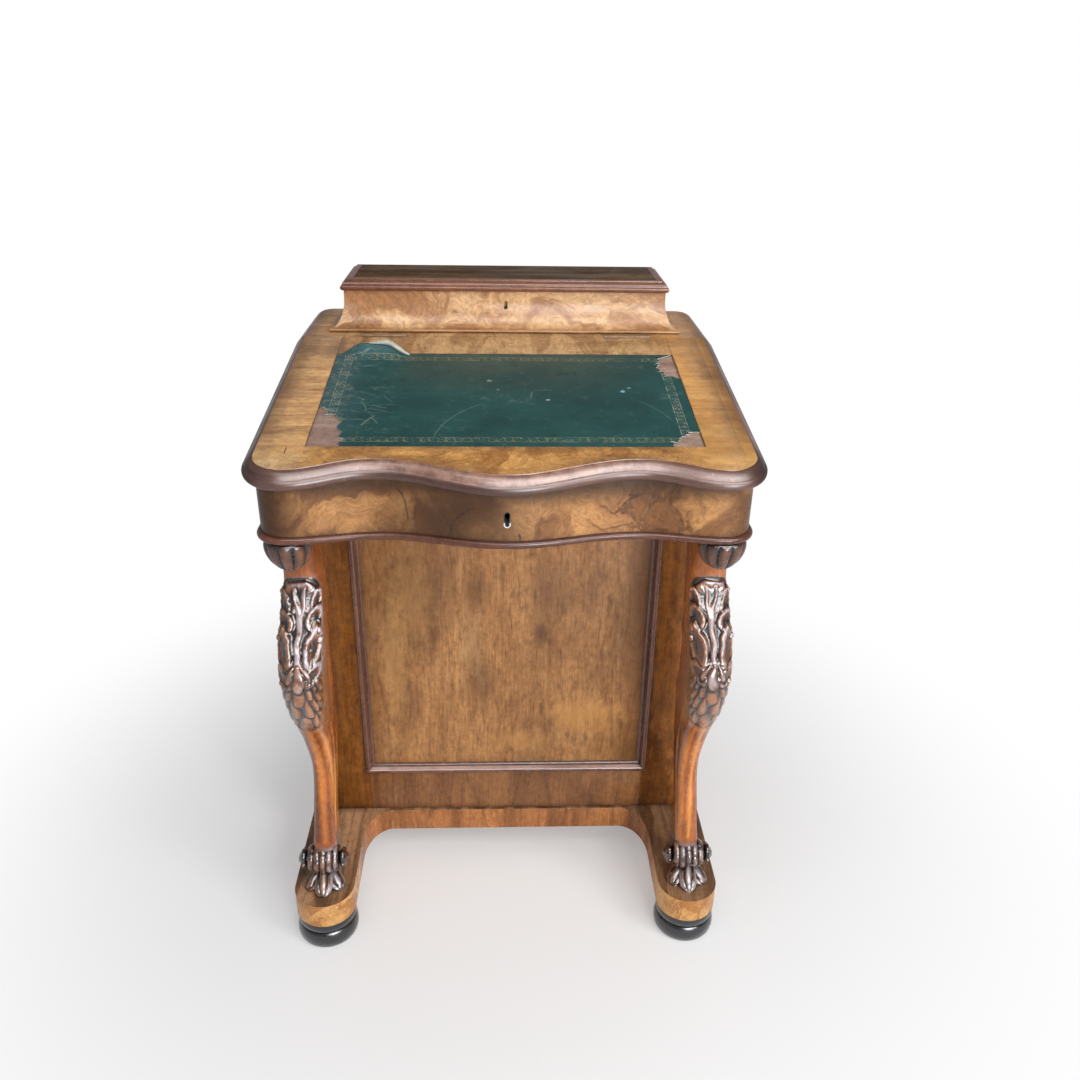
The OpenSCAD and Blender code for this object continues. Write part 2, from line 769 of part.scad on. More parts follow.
// A keyhole: a slot with round ends, through along Y
module slot(w, h, y0, y1) {
    translate([0, y1, 0]) rotate([90, 0, 0]) {
        for (end = [-1, 1]) translate([0, end * (h - w) / 2, 0]) cylinder(d = w, h = y1 - y0, $fn = 32);
        translate([-w / 2, -(h - w) / 2, 0]) cube([w, h - w, y1 - y0]);
    }
}

module liner(y, depth) {
    difference() {
        slot(key_w + 2 * liner_t, key_h + 2 * liner_t, y, y + depth);
        slot(key_w, key_h, y - 1, y + depth + 1);
    }
}

// Everything below the writing lid's underside, to trim the slope box's boards
module under_lid() {
    across([
        [y_front, z_box - 1], [y_back, z_box - 1], [y_back, z_shelf_under], [y_hinge, z_shelf_under],
        [y_hinge, z_shelf_under - shut_gap], [y_front, lid_under(y_front) - shut_gap]
    ], -top_hw, top_hw);
}

module frieze() {
    color(BURR) difference() {
        intersection() {
            board(concat(
                [for (p = frieze_edge) if (p[1] < y_frieze_in) [p[0], p[1]]],
                [[frieze_hw, y_frieze_in], [-frieze_hw, y_frieze_in]]
            ), z_box, z_shelf);
            under_lid();
        }
        translate([0, 0, key_mid]) slot(key_w + 2 * liner_t, key_h + 2 * liner_t, y_frieze - 1, y_frieze_in);
        block([-lock_w / 2, lock_y, lock_top - lock_h], [lock_w / 2, y_frieze_in + 1, z_shelf]);
    }
}

module frieze_bead() {
    color(RED_WALNUT) run_moulding(frieze_edge, bead_section, z_box, 0);
}

module cheek() {
    intersection() {
        block([well_hw, y_frieze_in, z_box], [frieze_hw, y_box_back - cheek_t, z_shelf]);
        under_lid();
    }
}

module cheek_left() {
    color(WALNUT) mirror([1, 0, 0]) cheek();
}

module cheek_right() {
    color(WALNUT) cheek();
}

module slope_back() {
    color(WALNUT) block([-frieze_hw, y_box_back - cheek_t, z_box], [frieze_hw, y_box_back, z_shelf_under]);
}

module slope_bottom() {
    color(LINING) block([-well_hw, y_frieze_in, z_box], [well_hw, y_box_back - cheek_t, z_box + bottom_t]);
}

/* ---- inner drawers at the back of the well ---- */
z_well = z_box + bottom_t;
y_inner = y_hinge + inner_back;
y_inner_back = y_box_back - cheek_t;
inner_cell = (2 * well_hw - 3 * inner_t) / 2;
z_inner_top = z_well + inner_h + inner_t;
module inner_case() {
    color(WALNUT) {
        for (x = [-well_hw, -inner_t / 2, well_hw - inner_t])
            block([x, y_inner, z_well], [x + inner_t, y_inner_back, z_inner_top]);
        for (x = [-well_hw + inner_t, inner_t / 2])
            block([x, y_inner, z_well + inner_h], [x + inner_cell, y_inner_back, z_inner_top]);
    }
}

module inner_drawer() {
    x0 = inner_t / 2 + inner_gap;
    x1 = x0 + inner_cell - 2 * inner_gap;
    y0 = y_inner + inner_front_t;
    y1 = y_inner_back - inner_wall;
    z0 = z_well + shut_gap;
    z1 = z_well + inner_h - inner_gap;
    z_side = z1 - drawer_head;
    color(BURR) {
        block([x0, y_inner, z0], [x1, y0, z1]);
        translate([(x0 + x1) / 2, y_inner, (z0 + z1) / 2]) rotate([0, 0, -90])
            knob(inner_knob_r, inner_knob_r * 1.6);
    }
    color(LINING) {
        block([x0, y0, z0], [x0 + inner_wall, y1, z_side]);
        block([x1 - inner_wall, y0, z0], [x1, y1, z_side]);
        block([x0 + inner_wall, y1 - inner_wall, z0], [x1 - inner_wall, y1, z_side]);
        block([x0 + inner_wall, y0, z0], [x1 - inner_wall, y1 - inner_wall, z0 + inner_floor]);
    }
}

module inner_drawer_left() {
    mirror([1, 0, 0]) inner_drawer();
}

module inner_drawer_right() {
    inner_drawer();
}

/* ---- hinges: leaves upright in the facing edges, knuckles on the top surface ---- */
knuckles = 3;
function knuckle_x(i) = -hinge_l / 2 + hinge_l * i / knuckles;

// The room that a hinge takes in the two boards
module hinge_room() {
    for (x = [-hinge_x, hinge_x]) translate([x, y_hinge, z_shelf]) {
        rotate([0, 90, 0]) cylinder(r = knuckle_r + 0.4, h = hinge_l + 0.6, center = true, $fn = 40);
        block([-hinge_l / 2 - 0.2, -hinge_gap / 2 - leaf_t, -leaf_h - knuckle_r - 0.2],
            [hinge_l / 2 + 0.2, hinge_gap / 2 + leaf_t, 0]);
    }
}

module knuckle(i, bore) {
    translate([knuckle_x(i) + knuckle_play / 2, 0, 0]) rotate([0, 90, 0]) difference() {
        cylinder(r = knuckle_r, h = hinge_l / knuckles - knuckle_play, $fn = 40);
        translate([0, 0, -1]) cylinder(r = bore, h = hinge_l, $fn = 40);
    }
}

// A leaf and its tab up to each of its own knuckles; side is 1 on the shelf, -1 on the lid
module leaf(side, own) {
    y0 = side > 0 ? hinge_gap / 2 : -hinge_gap / 2 - leaf_t;
    block([-hinge_l / 2, y0, -leaf_h - knuckle_r], [hinge_l / 2, y0 + leaf_t, -knuckle_r - 0.6]);
    for (i = own)
        block([knuckle_x(i) + knuckle_play / 2, y0, -knuckle_r - 0.6],
            [knuckle_x(i + 1) - knuckle_play / 2, y0 + leaf_t, -pin_r - 0.5]);
}

module lid_hinge_shelf_leaves() {
    color(BRASS) for (x = [-hinge_x, hinge_x]) translate([x, y_hinge, z_shelf]) {
        leaf(1, [0, 2]);
        knuckle(0, pin_r - 0.01);
        knuckle(2, pin_r - 0.01);
        rotate([0, 90, 0]) cylinder(r = pin_r, h = hinge_l, center = true, $fn = 40);
    }
}

module lid_hinge_lid_leaves() {
    color(BRASS) for (x = [-hinge_x, hinge_x]) translate([x, y_hinge, z_shelf]) {
        leaf(-1, [1]);
        knuckle(1, pin_r + pin_fit);
    }
}

/* ---- shelf and writing lid ---- */
module shelf() {
    color(BURR) difference() {
        board(inset(shelf_edge, mould_w), z_shelf_under, z_shelf);
        hinge_room();
    }
}

module shelf_moulding() {
    color(RED_WALNUT) run_moulding(shelf_edge, edge_section, z_shelf, 0);
}

// The lid's slab between two planes that climb with the slope, heights counted from its top
module slab(y0, y1, low, high) {
    across([
        [y0, lid_top(y0) + low], [y1, lid_top(y1) + low], [y1, lid_top(y1) + high], [y0, lid_top(y0) + high]
    ], -top_hw, top_hw);
}

skiver_hw = top_hw - mould_w - skiver_side;
y_skiver_0 = y_front + dip + mould_w + skiver_front;
y_skiver_1 = y_hinge - skiver_back;
module skiver_plan(z0, z1) {
    block([-skiver_hw, y_skiver_0, z0], [skiver_hw, y_skiver_1, z1]);
}

module lid_board() {
    color(BURR) difference() {
        intersection() {
            board(inset(lid_edge, mould_w), z_box, z_shelf + 1);
            slab(y_front, y_hinge, -lid_t, 0);
        }
        intersection() {
            skiver_plan(z_box, z_shelf + 1);
            slab(y_front, y_hinge, -skiver_bed, 1);
        }
        hinge_room();
        link_plate(0.1);
    }
}

module lid_moulding() {
    color(RED_WALNUT) run_moulding(lid_edge, edge_section, lid_top(0), slope);
}

module lid_leather() {
    color(LEATHER) intersection() {
        skiver_plan(z_box, z_shelf + 1);
        slab(y_front, y_hinge, -skiver_bed, skiver_t - skiver_bed);
    }
}

/* ---- locks: a bolt slides sideways through the eye of a staple under the lid ---- */
eye_w = 2.6;
eye_h = 3.2;
eye_wall = 1.6;
staple_t = 2.5;
staple_d = 5;
staple_h = 8;
bolt_l = 11;
slot_play = 1;

// A staple hangs from z = 0, its eye along X
module staple(depth) {
    difference() {
        block([-staple_t / 2, -staple_d / 2, -depth], [staple_t / 2, staple_d / 2, 0]);
        block([-staple_t, -eye_w / 2, -depth + eye_wall], [staple_t, eye_w / 2, -depth + eye_wall + eye_h]);
    }
}

// A lock case whose top is z = 0, with the staple's slot and the bolt's channel. The slot
// is longer in front, where the staple swings in.
module lock_case(w, h, d, y_staple, z_eye) {
    x = staple_t / 2 + slot_play;
    difference() {
        block([-w / 2, 0, -h], [w / 2, d, 0]);
        block([-x, y_staple - staple_d / 2 - 1.2, z_eye - 5], [x, y_staple + staple_d / 2 + 0.6, 1]);
        block([-x - bolt_travel, y_staple - eye_w / 2, z_eye - eye_h / 2],
            [x + bolt_l + 1, y_staple + eye_w / 2, z_eye + eye_h / 2]);
    }
}

module bolt(y_staple, z_eye) {
    x0 = staple_t / 2 + slot_play;
    block([x0, y_staple - eye_w / 2 + bolt_fit, z_eye - eye_h / 2 + bolt_fit],
        [x0 + bolt_l, y_staple + eye_w / 2 - bolt_fit, z_eye + eye_h / 2 - bolt_fit]);
}

staple_y = lock_d / 2 + 0.5;
plate_t = 2;
function frieze_eye() = lid_under(lock_y + staple_y) - staple_h + eye_wall + eye_h / 2 - lock_top;

module frieze_lock() {
    color(BRASS) translate([0, lock_y, lock_top]) lock_case(lock_w, lock_h, lock_d, staple_y, frieze_eye());
}

module frieze_keyhole_liner() {
    color(BRASS) translate([0, 0, key_mid]) liner(y_frieze, frieze_dip);
}

module frieze_lock_bolt() {
    color(STEEL) translate([0, lock_y, lock_top]) bolt(staple_y, frieze_eye());
}

// The plate let into the lid's underside, grown by a fit for its bed
module link_plate(fit) {
    y0 = lock_y - fit;
    y1 = lock_y + lock_d + fit;
    x = lock_w / 2 - 3 + fit;
    across([
        [y0, lid_under(y0)], [y1, lid_under(y1)],
        [y1, lid_under(y1) + plate_t], [y0, lid_under(y0) + plate_t]
    ], -x, x);
}

module lid_link_plate() {
    color(BRASS) {
        link_plate(0);
        translate([0, lock_y + staple_y, lid_under(lock_y + staple_y)]) {
            staple(staple_h);
            block([-staple_t / 2, -staple_d / 2, -1], [staple_t / 2, staple_d / 2, plate_t / 2]);
        }
    }
}

/* ---- stationery box ---- */
box_hw = box_w / 2;
neck_hw = box_hw - flare;
y_stat_back = y_back - box_back;
y_stat = y_stat_back - box_d;
y_stat_in = y_stat_back - box_wall + 2;
y_neck = y_stat + flare;
z_neck = z_shelf + box_h - shut_gap;
z_stat_lid = z_shelf + box_h;
foot_fillet = 4;
neck_fillet = 9;
hollow_h = box_h - foot_fillet - neck_fillet;

// Section of the hollow-moulded walls: [distance out from the wall's inner face, height]
hollow_wall = concat(
    [[0, z_shelf], [box_wall + flare, z_shelf], [box_wall + flare, z_shelf + foot_fillet]],
    [for (a = [0 : 10 : 90])
        [box_wall + flare * 0.94 * (1 - sin(a)), z_shelf + foot_fillet + hollow_h * (1 - cos(a))]],
    [[box_wall, z_neck], [0, z_neck]]
);

// What lies in front of the two diagonals from the front corners of a rim
module mitre_plan(hw, y0, z0, z1) {
    board([[-hw, y0], [hw, y0], [hw - box_d, y0 + box_d], [-hw + box_d, y0 + box_d]], z0, z1);
}

module stationery_front() {
    color(BURR) difference() {
        intersection() {
            across([for (p = hollow_wall) [y_neck + box_wall - p[0], p[1]]], -box_hw, box_hw);
            mitre_plan(box_hw, y_stat, z_shelf - 1, z_neck + 1);
        }
        translate([0, 0, stat_key_z]) slot(key_w, stat_key_h, y_stat - 1, y_neck + box_wall + 1);
    }
}

module stationery_sides() {
    color(BURR) both_sides() difference() {
        along([for (p = hollow_wall) [neck_hw - box_wall + p[0], p[1]]], y_stat, y_stat_back);
        mitre_plan(box_hw, y_stat, z_shelf - 1, z_neck + 1);
    }
}

module stationery_back() {
    color(WALNUT) difference() {
        block([-neck_hw + box_wall, y_stat_in, z_shelf], [neck_hw - box_wall, y_stat_back, z_neck]);
        stat_leaf_room();
    }
}

module stationery_dividers() {
    third = (neck_hw - box_wall) / 3;
    color(LINING) for (x = [-third, third])
        block([x - divider_t / 2, y_neck + box_wall, z_shelf],
            [x + divider_t / 2, y_stat_in, z_neck - divider_drop]);
}

lid_hw = neck_hw + box_lid_out;
y_lid = y_neck - box_lid_out;

module stationery_lid() {
    color(WALNUT) difference() {
        block([-lid_hw + box_mould_w, y_lid + box_mould_w, z_stat_lid],
            [lid_hw - box_mould_w, y_stat_back, z_stat_lid + box_lid_t]);
        stat_leaf_room();
        stat_plate(0.1);
    }
}

// Section of the moulding round the lid: [distance in from its edge, height]
lid_section = concat(
    [[box_mould_w, 0], [2.4, 0], [0.6, 1.6], [0, 3.2], [0, 5], [1.2, 6.2]],
    [for (a = [0 : 18 : 90]) [1.8 + 5.6 * (1 - cos(a)), 6.2 + (box_lid_t - 8.2) * sin(a)]],
    [[8.6, box_lid_t - 1.4], [8.6, box_lid_t], [box_mould_w, box_lid_t]]
);

module stationery_lid_moulding() {
    z0 = z_stat_lid - 1;
    z1 = z_stat_lid + box_lid_t + 1;
    color(RED_WALNUT) {
        intersection() {
            across([for (p = lid_section) [y_lid + p[0], z_stat_lid + p[1]]], -lid_hw, lid_hw);
            mitre_plan(lid_hw, y_lid, z0, z1);
        }
        both_sides() intersection() {
            along([for (p = lid_section) [lid_hw - p[0], z_stat_lid + p[1]]], y_lid, y_stat_back);
            board([
                [lid_hw, y_lid], [lid_hw, y_stat_back + 1], [0, y_stat_back + 1], [0, y_lid + lid_hw]
            ], z0, z1);
        }
    }
}

// Butt hinges at the back: leaves flat in the joint, knuckles just behind the box
stat_hinge_x = 130;
stat_hinge_l = 42;
stat_r = 2.4;
stat_pin = 1.1;
stat_leaf_w = 8;
stat_leaf_t = 1.2;
y_stat_pin = y_stat_back + stat_r + 0.2;

module stat_leaf_room() {
    fit = 0.1;
    hw = stat_hinge_l / 2 + fit;
    for (x = [-stat_hinge_x, stat_hinge_x])
        block([x - hw, y_stat_back - stat_leaf_w - fit, z_stat_lid - shut_gap / 2 - stat_leaf_t],
            [x + hw, y_stat_back + 1, z_stat_lid + stat_leaf_t]);
}

module stat_knuckle(i, bore) {
    step = stat_hinge_l / knuckles;
    translate([-stat_hinge_l / 2 + step * i + knuckle_play / 2, 0, 0]) rotate([0, 90, 0]) difference() {
        cylinder(r = stat_r, h = step - knuckle_play, $fn = 36);
        translate([0, 0, -1]) cylinder(r = bore, h = stat_hinge_l, $fn = 36);
    }
}

// side is 1 for the leaf under the lid, -1 for the leaf on the box
module stat_leaf(side, own) {
    step = stat_hinge_l / knuckles;
    z0 = side > 0 ? 0 : -stat_leaf_t - shut_gap / 2;
    y_end = -stat_r - 0.4;
    x0 = -stat_hinge_l / 2;
    block([x0, y_stat_back - y_stat_pin - stat_leaf_w, z0], [-x0, y_end, z0 + stat_leaf_t]);
    for (i = own)
        block([x0 + step * i + knuckle_play / 2, y_end, z0],
            [x0 + step * (i + 1) - knuckle_play / 2, -stat_pin - 0.4, z0 + stat_leaf_t]);
}

module stationery_hinge_box_leaves() {
    color(BRASS) for (x = [-stat_hinge_x, stat_hinge_x]) translate([x, y_stat_pin, z_stat_lid]) {
        stat_leaf(-1, [0, 2]);
        stat_knuckle(0, stat_pin - 0.01);
        stat_knuckle(2, stat_pin - 0.01);
        rotate([0, 90, 0]) cylinder(r = stat_pin, h = stat_hinge_l, center = true, $fn = 36);
    }
}

module stationery_hinge_lid_leaves() {
    color(BRASS) for (x = [-stat_hinge_x, stat_hinge_x]) translate([x, y_stat_pin, z_stat_lid]) {
        stat_leaf(1, [1]);
        stat_knuckle(1, stat_pin + pin_fit);
    }
}

stat_key_z = z_shelf + box_h * 0.65;
stat_key_h = 11;
stat_lock_w = 30;
stat_lock_h = 26;
stat_lock_d = 10;
stat_lock_top = z_neck - 2.5;
stat_staple_y = 5;
stat_staple_h = 9;
function stat_eye() = z_stat_lid - stat_staple_h + eye_wall + eye_h / 2 - stat_lock_top;

module stationery_lock() {
    color(BRASS) translate([0, y_neck + box_wall, stat_lock_top])
        lock_case(stat_lock_w, stat_lock_h, stat_lock_d, stat_staple_y, stat_eye());
}

module stationery_lock_bolt() {
    color(STEEL) translate([0, y_neck + box_wall, stat_lock_top]) bolt(stat_staple_y, stat_eye());
}

module stat_plate(fit) {
    block([-stat_lock_w / 2 + 3 - fit, y_neck + box_wall - fit, z_stat_lid - 1],
        [stat_lock_w / 2 - 3 + fit, y_neck + box_wall + stat_lock_d + fit, z_stat_lid + plate_t]);
}

module stationery_link_plate() {
    color(BRASS) {
        difference() {
            stat_plate(0);
            block([-stat_lock_w, y_stat, z_stat_lid - 2], [stat_lock_w, y_stat_back, z_stat_lid]);
        }
        translate([0, y_neck + box_wall + stat_staple_y, z_stat_lid]) staple(stat_staple_h);
    }
}

/* ---- the four drawers, counted from the bottom ---- */
module drawer_1_front() {
    drawer_front(0);
}

module drawer_1_box() {
    drawer_box(0);
}

module drawer_2_front() {
    drawer_front(1);
}

module drawer_2_box() {
    drawer_box(1);
}

module drawer_3_front() {
    drawer_front(2);
}

module drawer_3_box() {
    drawer_box(2);
}

module drawer_4_front() {
    drawer_front(3);
}

module drawer_4_box() {
    drawer_box(3);
}

bun_feet();
plinth_board();
plinth_arm_left();
plinth_arm_right();
front_stiles();
front_rails();
front_panel();
front_panel_moulding();
back_stiles();
back_rails();
back_panel();
back_panel_moulding();
left_side();
dummy_fronts();
dummy_knobs();
right_posts();
drawer_rails();
drawer_runners();
leg_left();
leg_right();
bosses();
frieze();
frieze_bead();
cheek_left();
cheek_right();
slope_back();
slope_bottom();
inner_case();
inner_drawer_left();
inner_drawer_right();
shelf();
shelf_moulding();
lid_board();
lid_moulding();
lid_leather();
stationery_front();
stationery_sides();
stationery_back();
stationery_dividers();
stationery_lid();
stationery_lid_moulding();
lid_hinge_shelf_leaves();
lid_hinge_lid_leaves();
stationery_hinge_box_leaves();
stationery_hinge_lid_leaves();
frieze_lock();
frieze_keyhole_liner();
frieze_lock_bolt();
lid_link_plate();
stationery_lock();
stationery_lock_bolt();
stationery_link_plate();
drawer_1_front();
drawer_1_box();
drawer_2_front();
drawer_2_box();
drawer_3_front();
drawer_3_box();
drawer_4_front();
drawer_4_box();
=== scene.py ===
"""A Victorian davenport desk in walnut and burr walnut, dressed round its joined frame."""
import json
import math

import bmesh
import bpy
import numpy as np
from mathutils import Matrix, Vector

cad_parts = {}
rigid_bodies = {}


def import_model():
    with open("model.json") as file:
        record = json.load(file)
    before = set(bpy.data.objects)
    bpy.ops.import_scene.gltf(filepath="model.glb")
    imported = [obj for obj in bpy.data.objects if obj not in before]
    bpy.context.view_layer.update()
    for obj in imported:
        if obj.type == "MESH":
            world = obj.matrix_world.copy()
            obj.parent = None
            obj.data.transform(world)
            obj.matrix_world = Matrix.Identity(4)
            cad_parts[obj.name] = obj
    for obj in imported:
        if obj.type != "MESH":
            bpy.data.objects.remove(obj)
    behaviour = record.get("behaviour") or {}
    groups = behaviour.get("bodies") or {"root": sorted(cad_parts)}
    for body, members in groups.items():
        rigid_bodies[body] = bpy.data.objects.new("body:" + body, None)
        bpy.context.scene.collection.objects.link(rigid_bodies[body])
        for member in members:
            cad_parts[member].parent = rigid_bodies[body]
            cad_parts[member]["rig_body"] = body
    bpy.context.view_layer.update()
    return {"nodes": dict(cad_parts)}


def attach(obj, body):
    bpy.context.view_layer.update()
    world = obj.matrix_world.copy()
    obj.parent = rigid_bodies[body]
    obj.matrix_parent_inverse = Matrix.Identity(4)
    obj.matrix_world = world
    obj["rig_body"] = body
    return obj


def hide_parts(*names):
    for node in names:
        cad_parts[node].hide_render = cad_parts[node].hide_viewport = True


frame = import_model()

# ---- the room ----
# A pale studio floor that runs out into white, a high window and a low one to the right, a
# ceiling strip, two panels seen only in the polish, and a camera at standing height.
scene = bpy.context.scene
scene.view_settings.view_transform = "Standard"


class Node:
    """A shader node: node[name] reads an output as a field, and node[name] = value joins or sets an input."""

    def __init__(self, tree, made):
        self.tree, self.made = tree, made

    def __getitem__(self, name):
        return Field(self.tree, self.made.outputs[name])

    def __setitem__(self, name, value):
        socket = self.made.inputs[name]
        if isinstance(value, Field):
            self.tree.links.new(value.socket, socket)
        elif value is not None:
            socket.default_value = (*value, 1) if socket.type == "RGBA" else value


def put(tree, kind, *ins, **given):
    """Adds a shader node. Lower-case names are its settings, the rest its inputs."""
    node = Node(tree, tree.nodes.new("ShaderNode" + kind))
    for key, value in given.items():
        if key[0].islower():
            setattr(node.made, key, value)
    for key, value in [*enumerate(ins), *given.items()]:
        if isinstance(key, int) or key[0].isupper():
            node[key if isinstance(key, int) else key.replace("_", " ")] = value
    return node


def mix(tree, share, a, b, way="MIX"):
    """Lays colour b over colour a by its share."""
    return put(tree, "Mix", share, None, None, None, None, None, a, b, data_type="RGBA", blend_type=way)[2]


class Field:
    """A value that changes over a surface. Its sums add Math nodes, so a * b + c is written as on paper."""

    def __init__(self, tree, socket):
        self.tree, self.socket = tree, socket

    def calc(self, operation, *others, clamp=False):
        """One sum on numbers that change over the surface."""
        return put(self.tree, "Math", self, *others, operation=operation, use_clamp=clamp)[0]

    def mix(self, a, b):
        """Colour a where the field is 0, colour b where it is 1."""
        return mix(self.tree, self, a, b)

    def fade(self, low, high, out_low=0.0, out_high=1.0):
        """Takes low..high to out_low..out_high, eased at both ends."""
        return put(self.tree, "MapRange", self, low, high, out_low, out_high, interpolation_type="SMOOTHSTEP")[0]

    def noise(self, scale, detail=2, roughness=0.5, distortion=0):
        """Clouds of soft noise at this place."""
        return put(self.tree, "TexNoise", Vector=self, Scale=scale, Detail=detail, Roughness=roughness,
                   Distortion=distortion)[0]

    def vector(self, operation, other):
        """One sum on a vector."""
        return put(self.tree, "VectorMath", self, other, operation=operation)[0]

    def scaled(self, by):
        """A vector made longer by a factor."""
        return put(self.tree, "VectorMath", self, Scale=by, operation="SCALE")[0]

    def far_from(self, place):
        """The distance of this place from another, in metres."""
        return put(self.tree, "VectorMath", self, place, operation="DISTANCE")["Value"]

    def moved(self, **given):
        """This place shifted, turned or stretched."""
        return put(self.tree, "Mapping", Vector=self, **given)[0]

    def grown(self, kind, *given, **named):
        """Puts a node group at this place, with its other inputs in order or by name."""
        return put(self.tree, "Group", self, *given, node_tree=kind, **named)

    x = property(lambda self: put(self.tree, "SeparateXYZ", self)["X"])
    y = property(lambda self: put(self.tree, "SeparateXYZ", self)["Y"])
    z = property(lambda self: put(self.tree, "SeparateXYZ", self)["Z"])
    __add__ = __radd__ = lambda self, other: self.calc("ADD", other)
    __mul__ = __rmul__ = lambda self, other: self.calc("MULTIPLY", other)
    __sub__ = lambda self, other: self.calc("SUBTRACT", other)
    __rsub__ = lambda self, other: put(self.tree, "Math", other, self, operation="SUBTRACT")[0]
    __truediv__ = lambda self, other: self.calc("DIVIDE", other)
    __gt__ = lambda self, other: self.calc("GREATER_THAN", other)
    __lt__ = lambda self, other: self.calc("LESS_THAN", other)
    __abs__ = lambda self: self.calc("ABSOLUTE")


def new_finish(name):
    """An empty material: itself, its output node, and the place on the object."""
    made = bpy.data.materials.new(name)
    made.use_nodes = True
    made.node_tree.nodes.clear()
    return made, put(made.node_tree, "OutputMaterial"), put(made.node_tree, "TexCoord")["Object"]


world = bpy.data.worlds.new("studio")
scene.world = world
world.use_nodes = True
sky = world.node_tree
sky.nodes.clear()
path = put(sky, "LightPath")
seen = path["Is Camera Ray"].calc("ADD", path["Is Transmission Ray"], clamp=True)
# polish mirrors the white backdrop low down and the dim ceiling above it
height = put(sky, "TexCoord")["Generated"].z
seen = seen.calc("ADD", path["Is Glossy Ray"] * height.fade(0.1, 0.0, 0.0, 0.5), clamp=True)
soft = put(sky, "Background", (0.27, 0.275, 0.29), 1.0)[0]
white = put(sky, "Background", (1, 1, 1), 1.0)[0]
put(sky, "OutputWorld", put(sky, "MixShader", seen, soft, white)[0])

floor_finish, out, place = new_finish("pale_floor")
reach = put(out.tree, "VectorMath", place, operation="LENGTH")["Value"]
gone = reach.fade(0.3, 1.0, 0.3, 1.0) * put(out.tree, "LightPath")["Is Camera Ray"]
matt = put(out.tree, "BsdfDiffuse", (0.93, 0.93, 0.93))[0]
out[0] = put(out.tree, "MixShader", gone, matt, put(out.tree, "Emission", (1, 1, 1), 1.0)[0])[0]
bpy.ops.mesh.primitive_circle_add(vertices=96, radius=3.5, fill_type="NGON", location=(0, 0, -0.0006))
studio_floor = bpy.context.object
studio_floor.name = "studio_floor"
studio_floor.data.materials.append(floor_finish)


def lamp(name, place, aim, size, watts, colour, lights=True):
    """A soft rectangular light at place, turned to aim. One that lights nothing is only mirrored by polish."""
    light = bpy.data.lights.new(name, "AREA")
    light.shape, light.size, light.size_y, light.energy, light.color = "RECTANGLE", *size, watts, colour
    held = bpy.data.objects.new(name, light)
    held.location = place
    held.visible_diffuse = lights
    held.rotation_euler = (Vector(aim) - Vector(place)).to_track_quat("-Z", "Y").to_euler()
    scene.collection.objects.link(held)


lamp("high_window", (2.0, -1.7, 2.4), (0, 0, 0.5), (1.2, 1.5), 41, (1, 0.99, 0.97))
lamp("low_window", (0.9, -2.5, 1.05), (0, 0, 0.45), (0.9, 1.3), 36, (0.97, 0.99, 1))
lamp("ceiling_strip", (-0.1, -1.0, 2.7), (0, -0.1, 0.6), (1.8, 0.35), 11, (1, 0.99, 0.98))
lamp("left_fill", (-2.2, -1.4, 1.6), (0, 0, 0.45), (0.8, 1.6), 2, (0.93, 0.97, 1))
lamp("mirrored_ceiling", (0.35, -1.85, 2.5), (0, -0.2, 0.6), (2.2, 0.9), 54, (0.97, 0.98, 1), False)
lamp("mirrored_front", (1.25, -3.0, 1.2), (0, 0, 0.6), (2.4, 0.8), 58, (0.93, 0.97, 1), False)

turn, tip, lean = 0.04283, 0.4729, 0.01703
ahead = Vector((math.sin(turn) * math.cos(tip), math.cos(turn) * math.cos(tip), -math.sin(tip)))
level = Vector((math.cos(turn), -math.sin(turn), 0))
above = level.cross(ahead)
right = math.cos(lean) * level + math.sin(lean) * above
up = math.cos(lean) * above - math.sin(lean) * level
eye = bpy.data.cameras.new("eye")
eye.sensor_fit, eye.sensor_width, eye.lens, eye.shift_y = "HORIZONTAL", 36, 32.59, 0.0226
camera = bpy.data.objects.new("eye", eye)
camera.matrix_world = Matrix((right, up, -ahead)).transposed().to_4x4()
camera.matrix_world.translation = -0.0048, -1.1803, 1.076
scene.collection.objects.link(camera)
scene.camera = camera

# ---- bun feet ----
# Four turned feet in ebonised beech, French polished black: a thick lower ring,
# a groove, and a smaller ring on which the plinth sits.


def dressed(name, mesh, body, finish, stands_for):
    """Makes a mesh a piece: its finish, the body it rides on, and the nodes it stands for."""
    piece = bpy.data.objects.new(name, mesh)
    scene.collection.objects.link(piece)
    mesh.materials.append(finish)
    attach(piece, body)
    if stands_for:
        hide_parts(*stands_for)
    return piece


def eased_arrises(piece, round_):
    """Rounds the arrises of a board as a few strokes of fine paper do."""
    plane = piece.modifiers.new("rounded", "BEVEL")
    plane.width, plane.segments, plane.harden_normals = round_ / 1000, 2, True
    plane.limit_method, plane.angle_limit = "ANGLE", math.radians(35)
    return piece


def reworked(mesh, *work):
    """Runs each piece of bmesh work on a mesh, then shades it smooth."""
    shape = bmesh.new()
    shape.from_mesh(mesh)
    for step in work:
        step(shape)
    shape.to_mesh(mesh)
    shape.free()
    mesh.shade_smooth()


